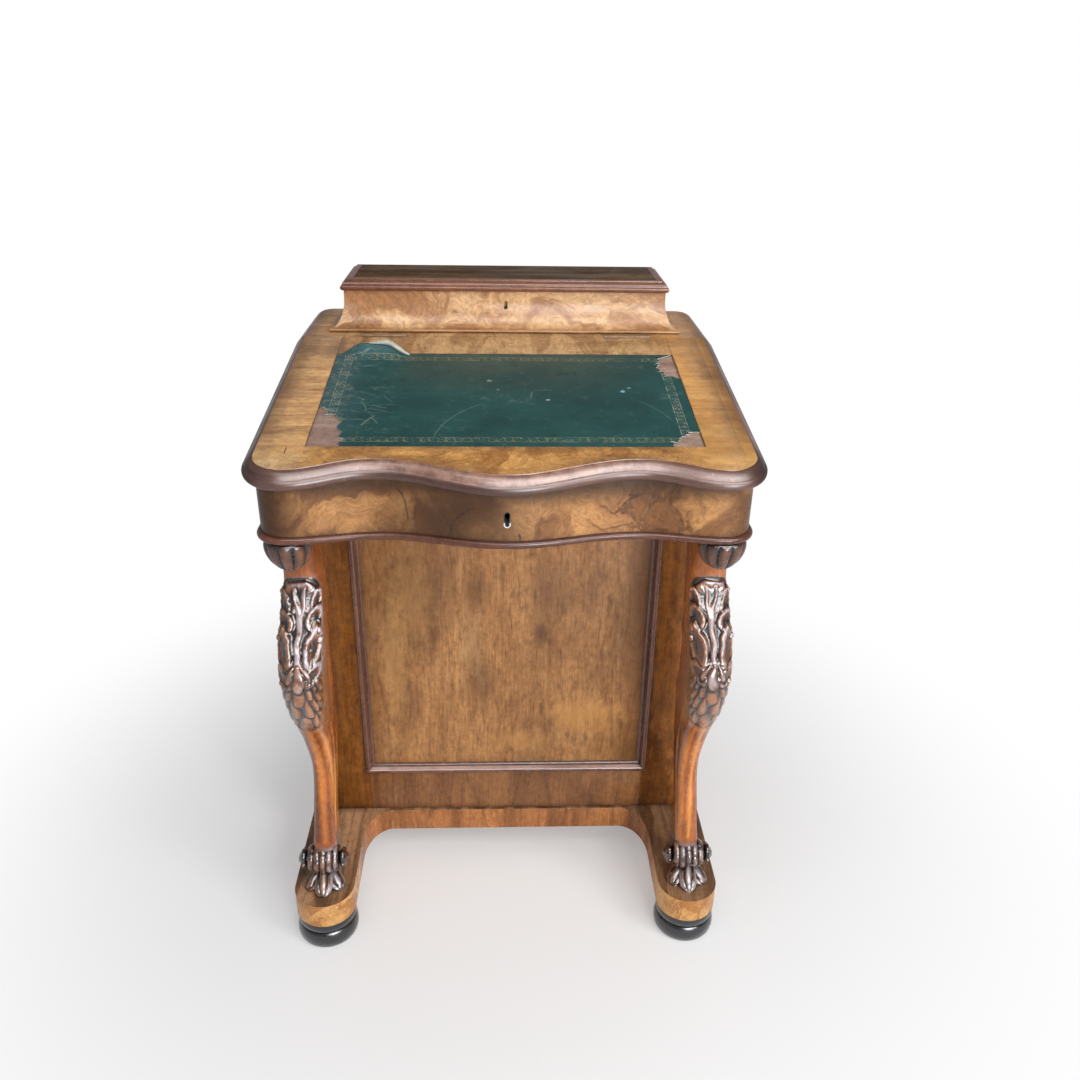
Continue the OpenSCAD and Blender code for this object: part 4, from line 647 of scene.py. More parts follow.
def acanthus(z, u):
    """The leaf's relief in millimetres at height z and place u round the front (-1 to 1), and how high it stands from
    black hollow (0), painted dark as old polish and as shade, to pale crown (1), painted as worn polish and as
    highlight.
    Feathers fan out downwards from z 468 in overlapping layers. Each leaflet is a spoon laid over the one above it: on
    a drop shape, a broad soft rim round a scooped middle, its top edge cut into teeth, with an undercut outside
    painted dark as dirt and as shade. A thin forked stem runs down the middle and ends in a short fan, pearls sit
    between the leaflets, and a fillet follows the outline. Slow waves bend it all a little."""
    z, u = np.broadcast_arrays(z, u)
    zw = z + 1.2 * np.sin(0.085 * z + 2.7 * u) + 0.6 * np.sin(0.19 * z - 5 * u)
    uw = u + 0.022 * np.sin(0.1 * z + 1) + 0.012 * np.sin(0.27 * z + 4 * u)
    h = np.clip((z - 350) / 199, 0, 1)
    half = 0.84 * np.clip(h / 0.28, 0, 1) ** 0.7 * np.sqrt(1 - np.clip((h - 0.86) / 0.14, 0, 1) ** 2)
    inside = step_up(half - np.abs(u), 0, 0.05) * (z > 350) * (z < 549)
    lift, crown = -0.5 + 0 * z, 0.1 + 0 * z
    r, fan = np.hypot(468 - zw, 42 * uw), np.arctan2(42 * uw, 468 - zw + 1e-9)

    def feathers(lift, crown, far, fall, waves, turn_, high):
        ray = np.abs(np.cos(waves * fan + turn_ * np.pi))
        edge = far - fall * np.abs(fan) - 11 * (1 - ray)
        over = step_up(edge - r, 0, 3.5) * step_up(470 - zw, 0, 8)
        body = high * (0.3 + 0.7 * ray**0.7) * (0.85 + 0.25 * r / far)
        crown = crown * (1 - 0.92 * np.exp(-(((r - edge - 1) / 2.4) ** 2)) * (fan**2 < 1))
        lit = np.clip(0.1 + 0.9 * ray * (0.6 + 0.5 * r / far), 0, 1)
        return lift + (body - lift) * over, crown + (lit - crown) * over

    for layer in ((118, 60, 24, 0.0, 2.0), (88, 52, 17, 0.5, 2.9), (62, 40, 13, 0.0, 3.4)):
        lift, crown = feathers(lift, crown, *layer)
    for zc, uc, tall, wide, lean_out, high in leaflets:
        dz = (zw - zc) / tall
        du = (uw - uc - lean_out * dz) * (1 if uc >= 0 else -1) / (wide * (0.94 + 0.12 * np.clip(dz, -1, 1)))
        spin = np.arctan2(dz, du)
        rho = np.hypot(dz, du) * (1 + 0.1 * np.abs(np.sin(3.5 * spin)) * step_up(dz, -0.1, 0.5))
        over = step_up(1 - rho, 0, 0.15)
        rim = np.exp(-(((rho - 0.77) / 0.25) ** 2))
        body = high * (0.4 + 0.6 * rim) + 0.9 * np.clip(dz, 0, 1) + 0.3 * np.cos(11 * spin) * np.clip(rho, 0, 0.8)
        crown = crown * (1 - 0.92 * np.exp(-(((rho - 1.06) / 0.09) ** 2)))
        crown = crown + (0.38 + 0.62 * rim - crown) * over
        lift = lift + (body - lift) * over
    fork = np.abs(np.abs(uw) - 0.1 * step_up(z, 500, 538))
    stem = np.clip(1 - fork / 0.06, 0, 1) ** 0.55 * step_up(z, 452, 464) * step_up(545 - z, 0, 12)
    stem_over = step_up(stem, 0.05, 0.5)
    crown = crown * (1 - 0.8 * np.exp(-(((fork - 0.07) / 0.018) ** 2)) * step_up(z, 455, 470)
                     * step_up(545 - z, 0, 10))
    crown = crown + (0.35 + 0.65 * stem - crown) * stem_over
    lift = lift + (3.3 * stem - lift) * stem_over
    lift, crown = feathers(lift, crown, 38, 22, 6.5, 0.0, 4.2)
    for zp, up_ in pearls:
        q = np.hypot(zw - zp, 42 * (np.abs(uw) - up_)) / 3.2
        crown = np.where(q < 1, 1.0, crown * (1 - 0.85 * np.exp(-(((q - 1.2) / 0.25) ** 2))))
        lift = np.where(q < 1, np.maximum(lift, 1.8) + 1.6 * np.sqrt(np.clip(1 - q * q, 0, 1)), lift)
    zone = step_up(z, 350, 353) * step_up(549.5 - z, 0, 2)
    fillet = np.exp(-(((np.abs(u) - half - 0.07) / 0.028) ** 2)) * zone
    groove = np.exp(-(((np.abs(u) - half - 0.01) / 0.03) ** 2)) * zone
    lift = inside * (0.3 + lift) + (1 - inside) * (0.9 * fillet - 0.7 * groove)
    return lift, inside * np.clip(crown, 0, 1) + (1 - inside) * np.clip(0.8 + 0.15 * fillet - 0.75 * groove, 0, 1)


def bracket():
    """The support as rings: superellipse sections, rounder in front, whose reach, width and lean run smoothly
    through the stations; the leaf and a raised fillet on each front edge are added to the section's radius."""
    t = np.concatenate([np.linspace(0, 4.2, 110), np.linspace(4.2, 8.7, 290)[1:], np.linspace(8.7, 10, 50)[1:]])
    z, f, g, w, lean_in = smooth_through(stations, t).T[:, :, None]
    a = np.radians(np.concatenate([np.linspace(180, 360, 101), np.linspace(0, 180, 41)[1:]]))[None, :]
    c, s = np.cos(a), np.sin(a)
    front = s < -1e-9
    u = np.where(front, (np.degrees(a) - 270) / 90, 1.0)
    cusps = 9 * np.maximum.reduce([np.clip(1 - ((z - k) / 13) ** 2, 0, 1) for k in (361.9, 460.4)])
    y0, y1 = -160 - 82 * f, -160 + 44 * (1 + g) + cusps
    widest = y0 + 0.34 * (y1 - y0)
    lift, height = acanthus(z, np.where(front, u, 0))
    lift = np.where(front, lift, 0)
    beside = np.exp(-((np.abs(u) - 0.95) / 0.03) ** 2) * front * step_up(z, 140, 180) * step_up(600 - z, 0, 30)
    sunk = np.exp(-((np.abs(u) - 0.82) / 0.06) ** 2) * front * step_up(z, 140, 170) * step_up(355 - z, 0, 20)
    lift = lift + 1.3 * beside * step_up(375 - z, 0, 30) - 0.9 * sunk
    p = np.where(front, 0.72, 0.4)
    reach = np.where(front, widest - y0, y1 - widest)
    x = 235.5 + 12 * lean_in + (w / 2 + lift) * np.sign(c) * np.abs(c) ** p
    y = widest + (reach + lift) * np.sign(s) * np.abs(s) ** p
    scroll_edge = step_up(15 - np.minimum(abs(z - 361.9), abs(z - 460.4)), 0, 8) * (s > 0.35)
    # the mask is painted paler on the fillets as a highlight, and darker in the groove beside them and round the two
    # scroll cusps at the back as shade
    height = np.where(front, np.clip(height + 0.25 * beside - 0.42 * sunk, 0, 1), 0.8 - 0.55 * scroll_edge)
    points = rows_of(x, y, z)
    flat = np.full((1, a.shape[1]), 0.8)
    return capped(points), np.concatenate([flat, height, flat])


def roll():
    """The scroll across the arm: radius by place x along it (a swelling barrel cut into rows of beads, a groove, a
    fluted ear and a petalled rosette at each end), turned round the roll's axis."""
    x = np.concatenate([np.linspace(-34, -21, 32), np.linspace(-20.8, 20.8, 97), np.linspace(21, 34, 32)])[:, None]
    a = np.linspace(0, 2 * np.pi, 109)[None, :]
    b = np.abs(x)
    along = (x + 0.8 * np.sin(a * 1.5)) / 8.4
    beads = np.abs(np.cos(2.5 * a + 1.3 * np.round(along)))
    ribs = np.abs(np.cos(np.pi * along)) ** 0.5 * (0.5 + 0.5 * beads**0.6)
    barrel = 21 - 4.6 * (b / 20.8) ** 2.4 - 3.6 * (1 - ribs)
    ear = 14.2 * np.sqrt(np.clip(1 - ((b - 26) / 5.5) ** 2, 0, 1)) * (1 - 0.12 * np.abs(np.cos(5 * a + 0.6)) ** 0.6)
    rose = 9 * np.sqrt(np.clip(1 - ((b - 28) / 6.0) ** 2, 0, 1)) * (1 - 0.2 * np.abs(np.cos(2.5 * a)) ** 0.7)
    r = np.where(b < 20.9, barrel, np.maximum(ear, rose))
    r = np.where(b > 33.999, 0, r)
    petals = np.where(ear > rose, 1 - 0.8 * np.abs(np.cos(5 * a + 0.6)) ** 0.6, 0.55)
    down = np.where(b < 20.9, 0.05 + 1.1 * ribs, petals)
    down = np.clip(down * (1 - 0.9 * np.exp(-((b - 21.2) / 1.6) ** 2)), 0, 1) * 0.8
    points = rows_of(247.5 + x, -172.5 + r * np.sin(a), 115 + r * np.cos(a))
    return points, np.broadcast_to(down, points.shape[:2])


def tongue(side_turn, length, wide, tall):
    """One lobe of the leaf below the roll: half-round sections that sink as they run forward to a blunt end, cut into
    three ribs, turned outwards by an angle about the roll's foot."""
    v = np.linspace(0, 1, 48)[:, None]
    a = np.linspace(0, np.pi, 57)[None, :]
    ribs = np.abs(np.cos(3 * (a - np.pi / 2) + 0.2 * np.sin(5 * v))) ** 0.7
    r = 1 - 0.22 * (1 - ribs) * (0.5 + 0.5 * v)
    across = wide * (0.82 + 0.3 * v) * np.sqrt(np.clip(1 - v**6, 0, 1)) * r * np.cos(a)
    rise = (0.72 * tall * (1 - v) ** 0.8 + 0.28 * tall * np.sqrt(np.clip(1 - v**5, 0, 1))) * r * np.sin(a) ** 0.8
    forward = length * v
    x = 247.5 + across * np.cos(side_turn) + forward * np.sin(side_turn)
    y = -162 + across * np.sin(side_turn) - forward * np.cos(side_turn)
    points = rows_of(x, y, plinth_top + rise)
    points = np.concatenate([points, points[:, :1]], 1)
    middle = np.broadcast_to(points[0].mean(0), points[0].shape)[None]
    height = np.clip(0.05 + 0.85 * ribs + 0 * v, 0, 1)
    height = np.concatenate([height, height[:, :1]], 1)
    return np.concatenate([middle, points]), np.concatenate([height[:1], height])


def bud():
    """A boss under the frieze corner: a bowl whose radius follows its profile, cut into ten rounded gadroons."""
    at = np.array([[0, 0], [0, 0.1], [0.04, 0.3], [0.1, 0.46], [0.28, 0.74], [0.52, 0.93], [0.74, 1], [0.88, 0.98],
                   [0.95, 0.9], [1, 0.88], [1, 0]])
    t = np.concatenate([np.linspace(0, 8, 70), [8.5, 9, 10]])
    up_, out_ = smooth_through(at, t).T[:, :, None]
    a = np.linspace(0, 2 * np.pi, 241)[None, :]
    lobe = np.abs(np.cos(5 * a + np.pi / 2 + 0.25 * np.sin(4 * up_))) ** 0.7
    full = np.sin(np.pi * np.clip(up_, 0, 0.93) / 0.93) ** 0.4
    r = 27.2 * np.clip(out_, 0, 1) * (1 - 0.15 * (1 - lobe) * full)
    points = rows_of(235.5 + r * np.cos(a), -220.3 + r * np.sin(a), 580.1 + 39.9 * np.clip(up_, 0, 1))
    return points, np.clip(0.1 + 0.75 * lobe * np.ones_like(r) - 0.35 * (1 - full), 0, 1)


def most(a, b):
    """The higher of two fields."""
    return a.calc("MAXIMUM", b)


def least(a, b):
    """The lower of two fields."""
    return a.calc("MINIMUM", b)


carved_finish, out, place = new_finish("carved_walnut")
stands = put(out.tree, "Attribute", attribute_name="carved")["Fac"]
wood = place.moved(Rotation=ways["z"]).grown(grain, (0.6, 0.17, 0.02), (0.31, 0.07, 0.007), (0.08, 0.018, 0.004),
                                             0.35, 1.3)
lived_and_shaded = place.grown(grime_and_shade, 0.012)
patina = place.noise(48, 5, 0.7)
# the carved parts, scroll feet and bosses are far darker than the plain shaft; the left leg's outer side, away from
# the light, and the side face beside its leaf are painted darker still as shade
in_leaf = place.z.fade(0.345, 0.36) * place.z.fade(0.556, 0.545) * place.y.fade(-0.172, -0.19)
in_foot = most(place.z.fade(0.142, 0.132), place.z.fade(0.576, 0.582) * place.y.fade(-0.193, -0.196))
right_leg = place.x > 0.0
across = place.x - right_leg * 0.473 + 0.2365
half_way = across + (patina - 0.5) * 0.012
across = across + (patina - 0.5) * 0.0025
shaded = half_way.fade(0.0, -0.016)
away = place.x.fade(-0.238, -0.256) * (1.0 - right_leg)
aged_and_shaded = most(in_leaf * (away * 0.25 + 0.75), in_foot * 0.95)
beside_leaf = place.z.fade(0.33, 0.38, 0.0, 0.7) * place.y.fade(-0.195, -0.215)
aged_and_shaded = most(aged_and_shaded, away * beside_leaf)
brown = patina.fade(0.35, 0.65).mix((0.035, 0.014, 0.008), (0.2, 0.07, 0.025))
brown = (in_foot * 0.7).mix(brown, (0.024, 0.02, 0.022))
# painted shade: the half of each leg away from the light, and the right leg, go darker
brown = most(shaded * 0.75, right_leg * 0.45).mix(brown, (0.016, 0.012, 0.014))
plain = place.z.fade(0.14, 0.15) * place.z.fade(0.36, 0.33)
ground = wood["Color"]
# painted highlights and a painted dark band run down the shaft, and its edge away from the light is painted dark as
# shade
for at_x, wide, strength, tint in (
        (-0.0055, 0.0055, 0.35, (0.86, 0.3, 0.04)), (0.0015, 0.0035, 0.6, (0.13, 0.03, 0.005)),
        (0.0085, 0.004, 0.5, (0.95, 0.42, 0.09))):
    painted_light_band = abs(across - at_x).fade(wide, 0.0, 0, strength)
    ground = (painted_light_band * plain).mix(ground, tint)
shaded_edge = most(across.fade(-0.009, -0.0135), across.fade(-0.001, -0.011) * right_leg)
ground = (shaded_edge * (plain * 0.6)).mix(ground, (0.07, 0.018, 0.004))
# painted shade under the frieze at the top of the shaft
ground = place.z.fade(0.545, 0.565, 0, 0.4).mix(ground, (0.1, 0.026, 0.005))
hue = (aged_and_shaded * patina.fade(0.3, 0.6, 1.0, 0.75)).mix(ground, brown)
# the hollows go near black as old polish and dirt, and as painted shade
hue = stands.fade(0.66, 0.24).mix(hue, (0.01, 0.007, 0.007))
# the crowns are painted pale as worn polish and as bluish highlights, less on the half in shade and on the right leg
bluish_highlight = patina.fade(0.36, 0.5) * place.z.fade(0.42, 0.45) * place.z.fade(0.576, 0.56)
wear_and_sheen = most(bluish_highlight, place.z.fade(0.142, 0.132)).mix((0.46, 0.19, 0.07), (0.5, 0.48, 0.53))
wear_and_sheen = shaded.mix(wear_and_sheen, (0.5, 0.24, 0.09))
worn_and_lit_crown = stands.fade(0.6, 0.95, 0, 0.85) * patina.fade(0.36, 0.54, 0.25, 1.0)
worn_and_lit_crown = worn_and_lit_crown * most(in_leaf, in_foot * place.z.fade(0.576, 0.56, 0.3))
hue = (worn_and_lit_crown * (shaded + right_leg * 0.6).fade(0, 1.2, 1, 0.45)).mix(hue, wear_and_sheen)
# darker in corners, as dirt and as painted shade
hue = (lived_and_shaded["Dirt_and_shade"] * 0.9).mix(hue, (0.01, 0.006, 0.005))
skin(out, hue, wood["Relief"], 0.3, 0.0002, Roughness=lived_and_shaded["Smudge"].fade(0, 1, 0.2, 0.34), Coat_IOR=1.6,
     Coat_Roughness=0.14, Coat_Weight=aged_and_shaded.fade(0.1, 0.5, 0.3, 1.0) * place.z.fade(0.576, 0.56, 0.35))

for side, name in ((-1, "leg_left"), (1, "leg_right")):
    shapes, depths = zip(bracket(), roll(), tongue(0, 47, 13.5, 33), tongue(-0.62, 40, 12.5, 25),
                         tongue(0.62, 40, 12.5, 25))
    surface(name + "_carved", "desk", carved_finish, [s * (side, 1, 1) for s in shapes], [name], 50,
            depths)
shape, depth = bud()
surface("carved_bosses", "desk", carved_finish, [shape * (side, 1, 1) for side in (-1, 1)],
        ["bosses"], 50, [depth, depth])

# ---- slope box ----
# A serpentine burr frieze with a dark bead below it, walnut cheeks and back, and a lined
# well that holds a small case with two drawers.


def swell(x, y0, dip, shoulder, straight):
    """The serpentine front: y falls back by dip over half a cosine wave to 140 mm from the middle, then comes forward
    to the shoulder."""
    x, dip_x = np.abs(x), 140
    inner = y0 + dip * (1 - np.cos(np.pi * x / dip_x)) / 2
    outer = y0 + dip - (dip - shoulder) * (1 - np.cos(np.pi * (x - dip_x) / (straight - dip_x))) / 2
    return np.where(x <= dip_x, inner, outer)


def serpentine(half, rear, y0, dip, shoulder, r, waves=180, corner=24):
    """An outline from the left rear round the front to the right rear: rows of x, y and the unit normal inwards.
    The front is the swell, its normal turned from the slope of the curve; the corners are quarter circles."""
    straight = half - r
    x = np.linspace(-straight, straight, waves + 1)[1:-1]
    step = 0.01
    before, here, after = (swell(x + k, y0, dip, shoulder, straight) for k in (-step, 0, step))
    k = (after - before) / (2 * step)
    front = rows_of(x, here, -k / np.hypot(1, k), 1 / np.hypot(1, k))
    rounds = []
    for side, a in ((-1, np.linspace(np.pi, 1.5 * np.pi, corner)), (1, np.linspace(1.5 * np.pi, 2 * np.pi, corner))):
        rounds.append(rows_of(side * straight + r * np.cos(a), y0 + shoulder + r + r * np.sin(a), -np.cos(a),
                              -np.sin(a)))
    side = np.linspace(rear, y0 + shoulder + r, 30)[:-1]
    left = rows_of(-half, side, 1, 0)
    return np.concatenate([left, rounds[0], front, rounds[1], left[::-1] * (-1, 1, -1, 1)])


def run_along(outline, section, z0, slope=0.0):
    """A moulding: each section point [distance in, height] is carried along the outline at that distance in,
    climbing with y at the slope; the ends are closed on their own middle."""
    inward, height = np.asarray(section, float).T
    x = outline[:, :1] + outline[:, 2:3] * inward
    y = outline[:, 1:2] + outline[:, 3:4] * inward
    return capped(rows_of(x, y, z0 + slope * y + height))


# the height at which the frieze starts, and the fall of the writing lid from back to front
frieze_foot, slope = 620, math.tan(math.radians(7.4))
frieze_outline = serpentine(264, 264, -253, 24, 10, 28)
red_wood = dict(light=(0.17, 0.062, 0.038), mid=(0.085, 0.028, 0.018), dark=(0.03, 0.01, 0.008))
bead_wood = walnut("red_walnut_bead", "x", **red_wood, lines=0.2, streaks=0.8, run=True, gloss=0.24, coat=0.3,
                   dirt=0.8, shine=0.25, coat_rough=0.18)
a = np.radians(np.linspace(90, -90, 15))
bead = np.concatenate([rows_of(-5 * np.cos(a) ** 0.8, 4.25 * (1 + np.sin(a))), [[0, 8.5]]])
surface("frieze_bead_run", "desk", bead_wood, [run_along(frieze_outline, bead, frieze_foot)],
        ["frieze_bead"], 40)

frieze_wood, out, place = new_finish("frieze_burr")
figure = place.grown(burr, (0.52, 0.25, 0.085), (0.23, 0.09, 0.026), (0.07, 0.023, 0.006), 0.85, 0.75, 0.8)
# painted shade: the top edge under the lid as its shadow, both ends where the front turns away, and a cloud left of
# the middle where the swell faces away from the light
high = (place.z - place.x * place.x * 0.12).fade(0.655, 0.682, 0, 0.9)
shaded_ends = most(place.x.fade(-0.185, -0.25, 0, 0.95), place.x.fade(0.215, 0.26, 0, 0.7))
cloud = place.noise(6, 3, 0.6)
middle = abs(place.x + 0.06).fade(0.13, 0.03) * cloud.fade(0.3, 0.55, 0.45, 0.95)
hue = most(most(high, shaded_ends), middle).mix(figure["Color"], (0.06, 0.022, 0.007))
warp = put(out.tree, "TexNoise", Vector=place, Scale=24, Detail=3, Roughness=0.6)["Color"]
warped = place.vector("ADD", warp.scaled(0.02))
crack = put(out.tree, "TexVoronoi", Vector=warped.moved(Scale=(1, 1, 0.55)), Scale=9,
            feature="DISTANCE_TO_EDGE")["Distance"]
crack = crack.fade(0.012, 0.003) * cloud.fade(0.52, 0.6)
hue = (crack * 0.8).mix(hue, (0.05, 0.02, 0.008))


def scratch(hue, across, along, x0, y0, x1, y1, bow, thick, strength, colour):
    """A bowed hair-line from one point to another, in metres on the two given coordinates."""
    length = math.hypot(x1 - x0, y1 - y0)
    dx, dy = (x1 - x0) / length, (y1 - y0) / length
    from_x, from_y = across - x0, along - y0
    go = from_x * dx + from_y * dy
    off_ = from_y * dx - from_x * dy
    arc = go * (length - go) * (4 * bow / length**2)
    hair = abs(off_ - arc).fade(thick, thick * 0.3)
    ends_ = go.fade(0, length * 0.15) * go.fade(length, length * 0.85)
    return (hair * ends_ * strength).mix(hue, colour)


bent = put(out.tree, "SeparateXYZ", warped)
for line in ((0.022, 0.651, 0.026, 0.632, 0.001), (-0.108, 0.694, -0.094, 0.652, 0.004),
             (-0.02, 0.678, -0.052, 0.64, -0.004), (0.138, 0.684, 0.152, 0.677, 0.001),
             (0.14, 0.679, 0.157, 0.682, -0.001), (0.134, 0.673, 0.148, 0.678, 0.001)):
    hue = scratch(hue, bent["X"], bent["Z"], *line, 0.0013, 0.75, (0.03, 0.012, 0.006))
polish(out, place, hue, figure["Relief"] - crack * 2.0, gloss=0.24, dirt=0.8, coat=0.15)


def burrow(piece, cutters):
    """Cuts closed shapes out of a piece with an exact boolean, applied to its mesh."""
    bpy.context.view_layer.update()
    for cutter in cutters:
        drill = piece.modifiers.new("cut", "BOOLEAN")
        drill.object, drill.operation, drill.solver = cutter, "DIFFERENCE", "EXACT"
    mesh = bpy.data.meshes.new_from_object(piece.evaluated_get(bpy.context.evaluated_depsgraph_get()))
    piece.modifiers.clear()
    old, piece.data = piece.data, mesh
    bpy.data.meshes.remove(old)
    for cutter in cutters:
        bpy.data.objects.remove(cutter)
    mesh.shade_smooth()
    mesh.set_sharp_from_angle(angle=math.radians(38))


def keyhole_cutter(w, h, z, y0, y1):
    """A slot with round ends, w wide and h high, about the height z, from y0 to y1."""
    a = np.linspace(0, 2 * np.pi, 41)
    x = w / 2 * np.cos(a)
    up_ = w / 2 * np.sin(a) + (h - w) / 2 * np.sign(np.sin(a) + 1e-9)
    edge = rows_of(x, 0 * a, z + up_)
    middle = np.broadcast_to([0, 0, z], edge.shape)
    grid = np.stack([middle + (0, y0, 0), edge + (0, y0, 0), edge + (0, y1, 0), middle + (0, y1, 0)])
    return surface("cutter", "desk", frieze_wood, [grid])


# the frieze board: the outline's front part as its face, straight behind, sloping on top under the lid
face = frieze_outline[frieze_outline[:, 1] < -207]
face = np.concatenate([[[-264, -207, 1, 0]], face, [[264, -207, -1, 0]]])
lid_under = lambda y: 687 + (y + 253) * slope - 0.3
rows = [rows_of(face[:, 0], face[:, 1], frieze_foot + z * (lid_under(face[:, 1]) - frieze_foot))
        for z in np.linspace(0, 1, 9)]
rear = [rows_of(face[:, 0], -207, z) for z in (lid_under(-207), frieze_foot)]
frieze_board = surface("frieze_veneered", "desk", frieze_wood, [np.stack(rows + rear + [rows[0]])],
                       ["frieze"])
corners = [(-18, 656.4), (18, 656.4), (18, 720), (-18, 720), (-18, 656.4)]
lock_bed = surface("lock_bed", "desk", frieze_wood, [np.array(
    [[[0, -219, 680]] * 5, *([[x, y, z] for x, z in corners] for y in (-219, -190)), [[0, -190, 680]] * 5], float)])
burrow(frieze_board, [keyhole_cutter(7.4, 18.4, 653, -262, -200), lock_bed])

for node in ("cheek_left", "cheek_right"):
    eased(node, walnut(node + "_veneer", "y", (0.36, 0.17, 0.062), (0.2, 0.084, 0.03), (0.06, 0.022, 0.009), 0.5, 1.0,
                       at=(0.1, 0.2, 0.5)), 0.4)
eased("slope_back", side_wood, 0.5)
eased("slope_bottom", lining_wood, 0.4)
eased("inner_case", walnut("inner_case_walnut", "x", (0.36, 0.17, 0.065), (0.22, 0.095, 0.035), (0.08, 0.03, 0.012),
                           0.3, 0.8, gloss=0.4, coat=0.1), 0.4)

# ---- fixed shelf ----
# Behind the slope: a veneered board with the writing lid's own moulding round its sides and back.
# The moulding's section: veneer runs on over its flat, then a small quirk, a broad sloping
# thumb and below it a round bead.
a = np.radians(np.linspace(62, -78, 21))
t = np.linspace(0, 1, 9)
edge_section = np.concatenate([
    [[24, 0], [12.5, 0], [12.2, -0.2], [11.9, -0.9], [11.3, -0.9]],
    rows_of(10.9 - 7.4 * t, -0.8 - 6.6 * t + 1.1 * np.sin(np.pi * t))[1:],
    rows_of(6.1 - 6.0 * np.cos(a), -13.4 + 6.3 * np.sin(a)),
    [[7.5, -20.4], [12, -20.8], [12, -22], [24, -22], [24, 0]]])
edge_wood, out, place = new_finish("edge_moulding_walnut")
ground = put(out.tree, "UVMap", uv_map="run")[0].moved(Location=(0.3, 0.2, 0))
wood = ground.grown(grain, (0.22, 0.098, 0.068), (0.1, 0.038, 0.026), (0.03, 0.01, 0.008), 0.25, 1.2)
chip = place.noise(55, 6, 0.75)
long_cloud = ground.noise(7, 2)
chipped = chip.fade(0.6, 0.66) * long_cloud.fade(0.5, 0.62)
hue = (chipped * 0.8).mix(wood["Color"], (0.42, 0.24, 0.15))
corner_knock = place.far_from((0.273, -0.232, 0.7)) + chip * 0.02
hue = corner_knock.fade(0.026, 0.018).mix(hue, (0.018, 0.01, 0.009))
# the runs facing sideways are painted darker as shade, and given less gloss
sideways = abs(put(out.tree, "NewGeometry")["Normal"].x)
hue = sideways.fade(0.45, 0.8, 0, 0.5).mix(hue, (0.04, 0.016, 0.01))
# the bead under the thumb and the corners of the lid are darker, nearly black; the middle of the thumb at the front is
# painted paler as a highlight
down_by = place.z - least(place.y, 0.105) * slope
in_bead = down_by.fade(0.7345, 0.7315)
corner = abs(place.x).fade(0.225, 0.268) * place.y.fade(-0.19, -0.22)
dark_bead_and_corners = most(in_bead * 0.45, corner * long_cloud.fade(0.35, 0.6, 0.5, 0.9))
hue = dark_bead_and_corners.mix(hue, (0.028, 0.011, 0.008))
wear_and_sheen = abs(place.x).fade(0.2, 0.1) * (place.y.fade(-0.2, -0.22) * down_by.fade(0.732, 0.7345))
wear_and_sheen = wear_and_sheen * chip.fade(0.38, 0.62, 0.1, 0.75)
hue = wear_and_sheen.mix(hue, (0.42, 0.235, 0.165))
hue = chip.fade(0.38, 0.3, 0, 0.6).mix(hue, (0.02, 0.01, 0.008))
polish(out, place, hue, wood["Relief"] - chipped, gloss=0.28, dirt=0.9, bare=0.35,
       coat=sideways.fade(0.4, 0.85, 1.0, 0.08) * dark_bead_and_corners.fade(0, 0.7, 1.0, 0.45),
       arris=0.0009, shine=sideways.fade(0.4, 0.85, 0.4, 0.15), coat_rough=0.27)


# the shelf's height, the top's half width, and the hinge line with the gap on each side of it
shelf_top, half_top, hinge_line, knuckle_gap = 755.496, 275, 105, 0.4


def back_outline():
    """The shelf's outline from the right of the hinge line round the back to the left, as in serpentine(): the corners
    are quarter circles of 30."""
    a = np.linspace(0, np.pi / 2, 24)
    y = np.linspace(hinge_line + knuckle_gap, 245, 20)[:-1]
    sides = rows_of(half_top, y, -1, 0)
    rounds = [rows_of(245 * s + 30 * np.cos(b), 245 + 30 * np.sin(b), -np.cos(b), -np.sin(b))
              for s, b in ((1, a), (-1, a + np.pi / 2))]
    return np.concatenate([sides, *rounds, sides[::-1] * (-1, 1, -1, 1)])


shelf_run = surface("shelf_moulding_run", "desk", edge_wood,
                    [run_along(back_outline(), edge_section, shelf_top)], ["shelf_moulding"], 28)

# Both boards carry a golden burr ground; the lid's side borders are cross-banded in short
# pieces whose joints show, and the front corners are the palest burr with dark pin knots.
top_wood, out, place = new_finish("top_veneers")
side = abs(place.x)
front_burr = place.grown(burr, (0.62, 0.31, 0.09), (0.34, 0.145, 0.035), (0.12, 0.042, 0.011), 1.0, 0.45, 0.5)
pieces = put(out.tree, "CombineXYZ", place.x.calc("SIGN"), place.y.calc("SNAP", 0.052), 0.0)[0].noise(3.7, 0)
shift = put(out.tree, "CombineXYZ", pieces * 4.0, 0.0, pieces)[0]
band = place.vector("ADD", shift).grown(grain, (0.72, 0.4, 0.14), (0.46, 0.22, 0.07), (0.18, 0.07, 0.02), 0.4, 1.4)
band_tone = pieces.fade(0.3, 0.7, 0.8, 1.28)
banded = toned(band["Color"], band_tone)
drawn_out = place.moved(Scale=(1.5, 0.4, 1), Location=(0.4, 0, 0))
rear_figure = drawn_out.grown(burr, (0.66, 0.4, 0.18), (0.36, 0.185, 0.07), (0.13, 0.055, 0.02), 1.1, 0.5, 0.2)
wobble = place.noise(30, 3) * 0.004
in_side = (side + wobble).fade(0.2135, 0.2145)
in_rear = place.y.fade(0.04, 0.05)
hue = in_rear.mix(front_burr["Color"], rear_figure["Color"])
hue = (in_side * place.y.fade(-0.208, -0.196)).mix(hue, banded)
seam = abs(side + wobble - 0.214).fade(0.0012, 0.0004)
corners = side.fade(0.19, 0.235) * place.y.fade(-0.2, -0.235)
knotty = place.grown(burr, (0.74, 0.47, 0.2), (0.58, 0.33, 0.12), (0.12, 0.045, 0.015), 1.5, 0.35, 0.9)
hue = corners.mix(hue, knotty["Color"])
stain = place.noise(9, 4, 0.65)
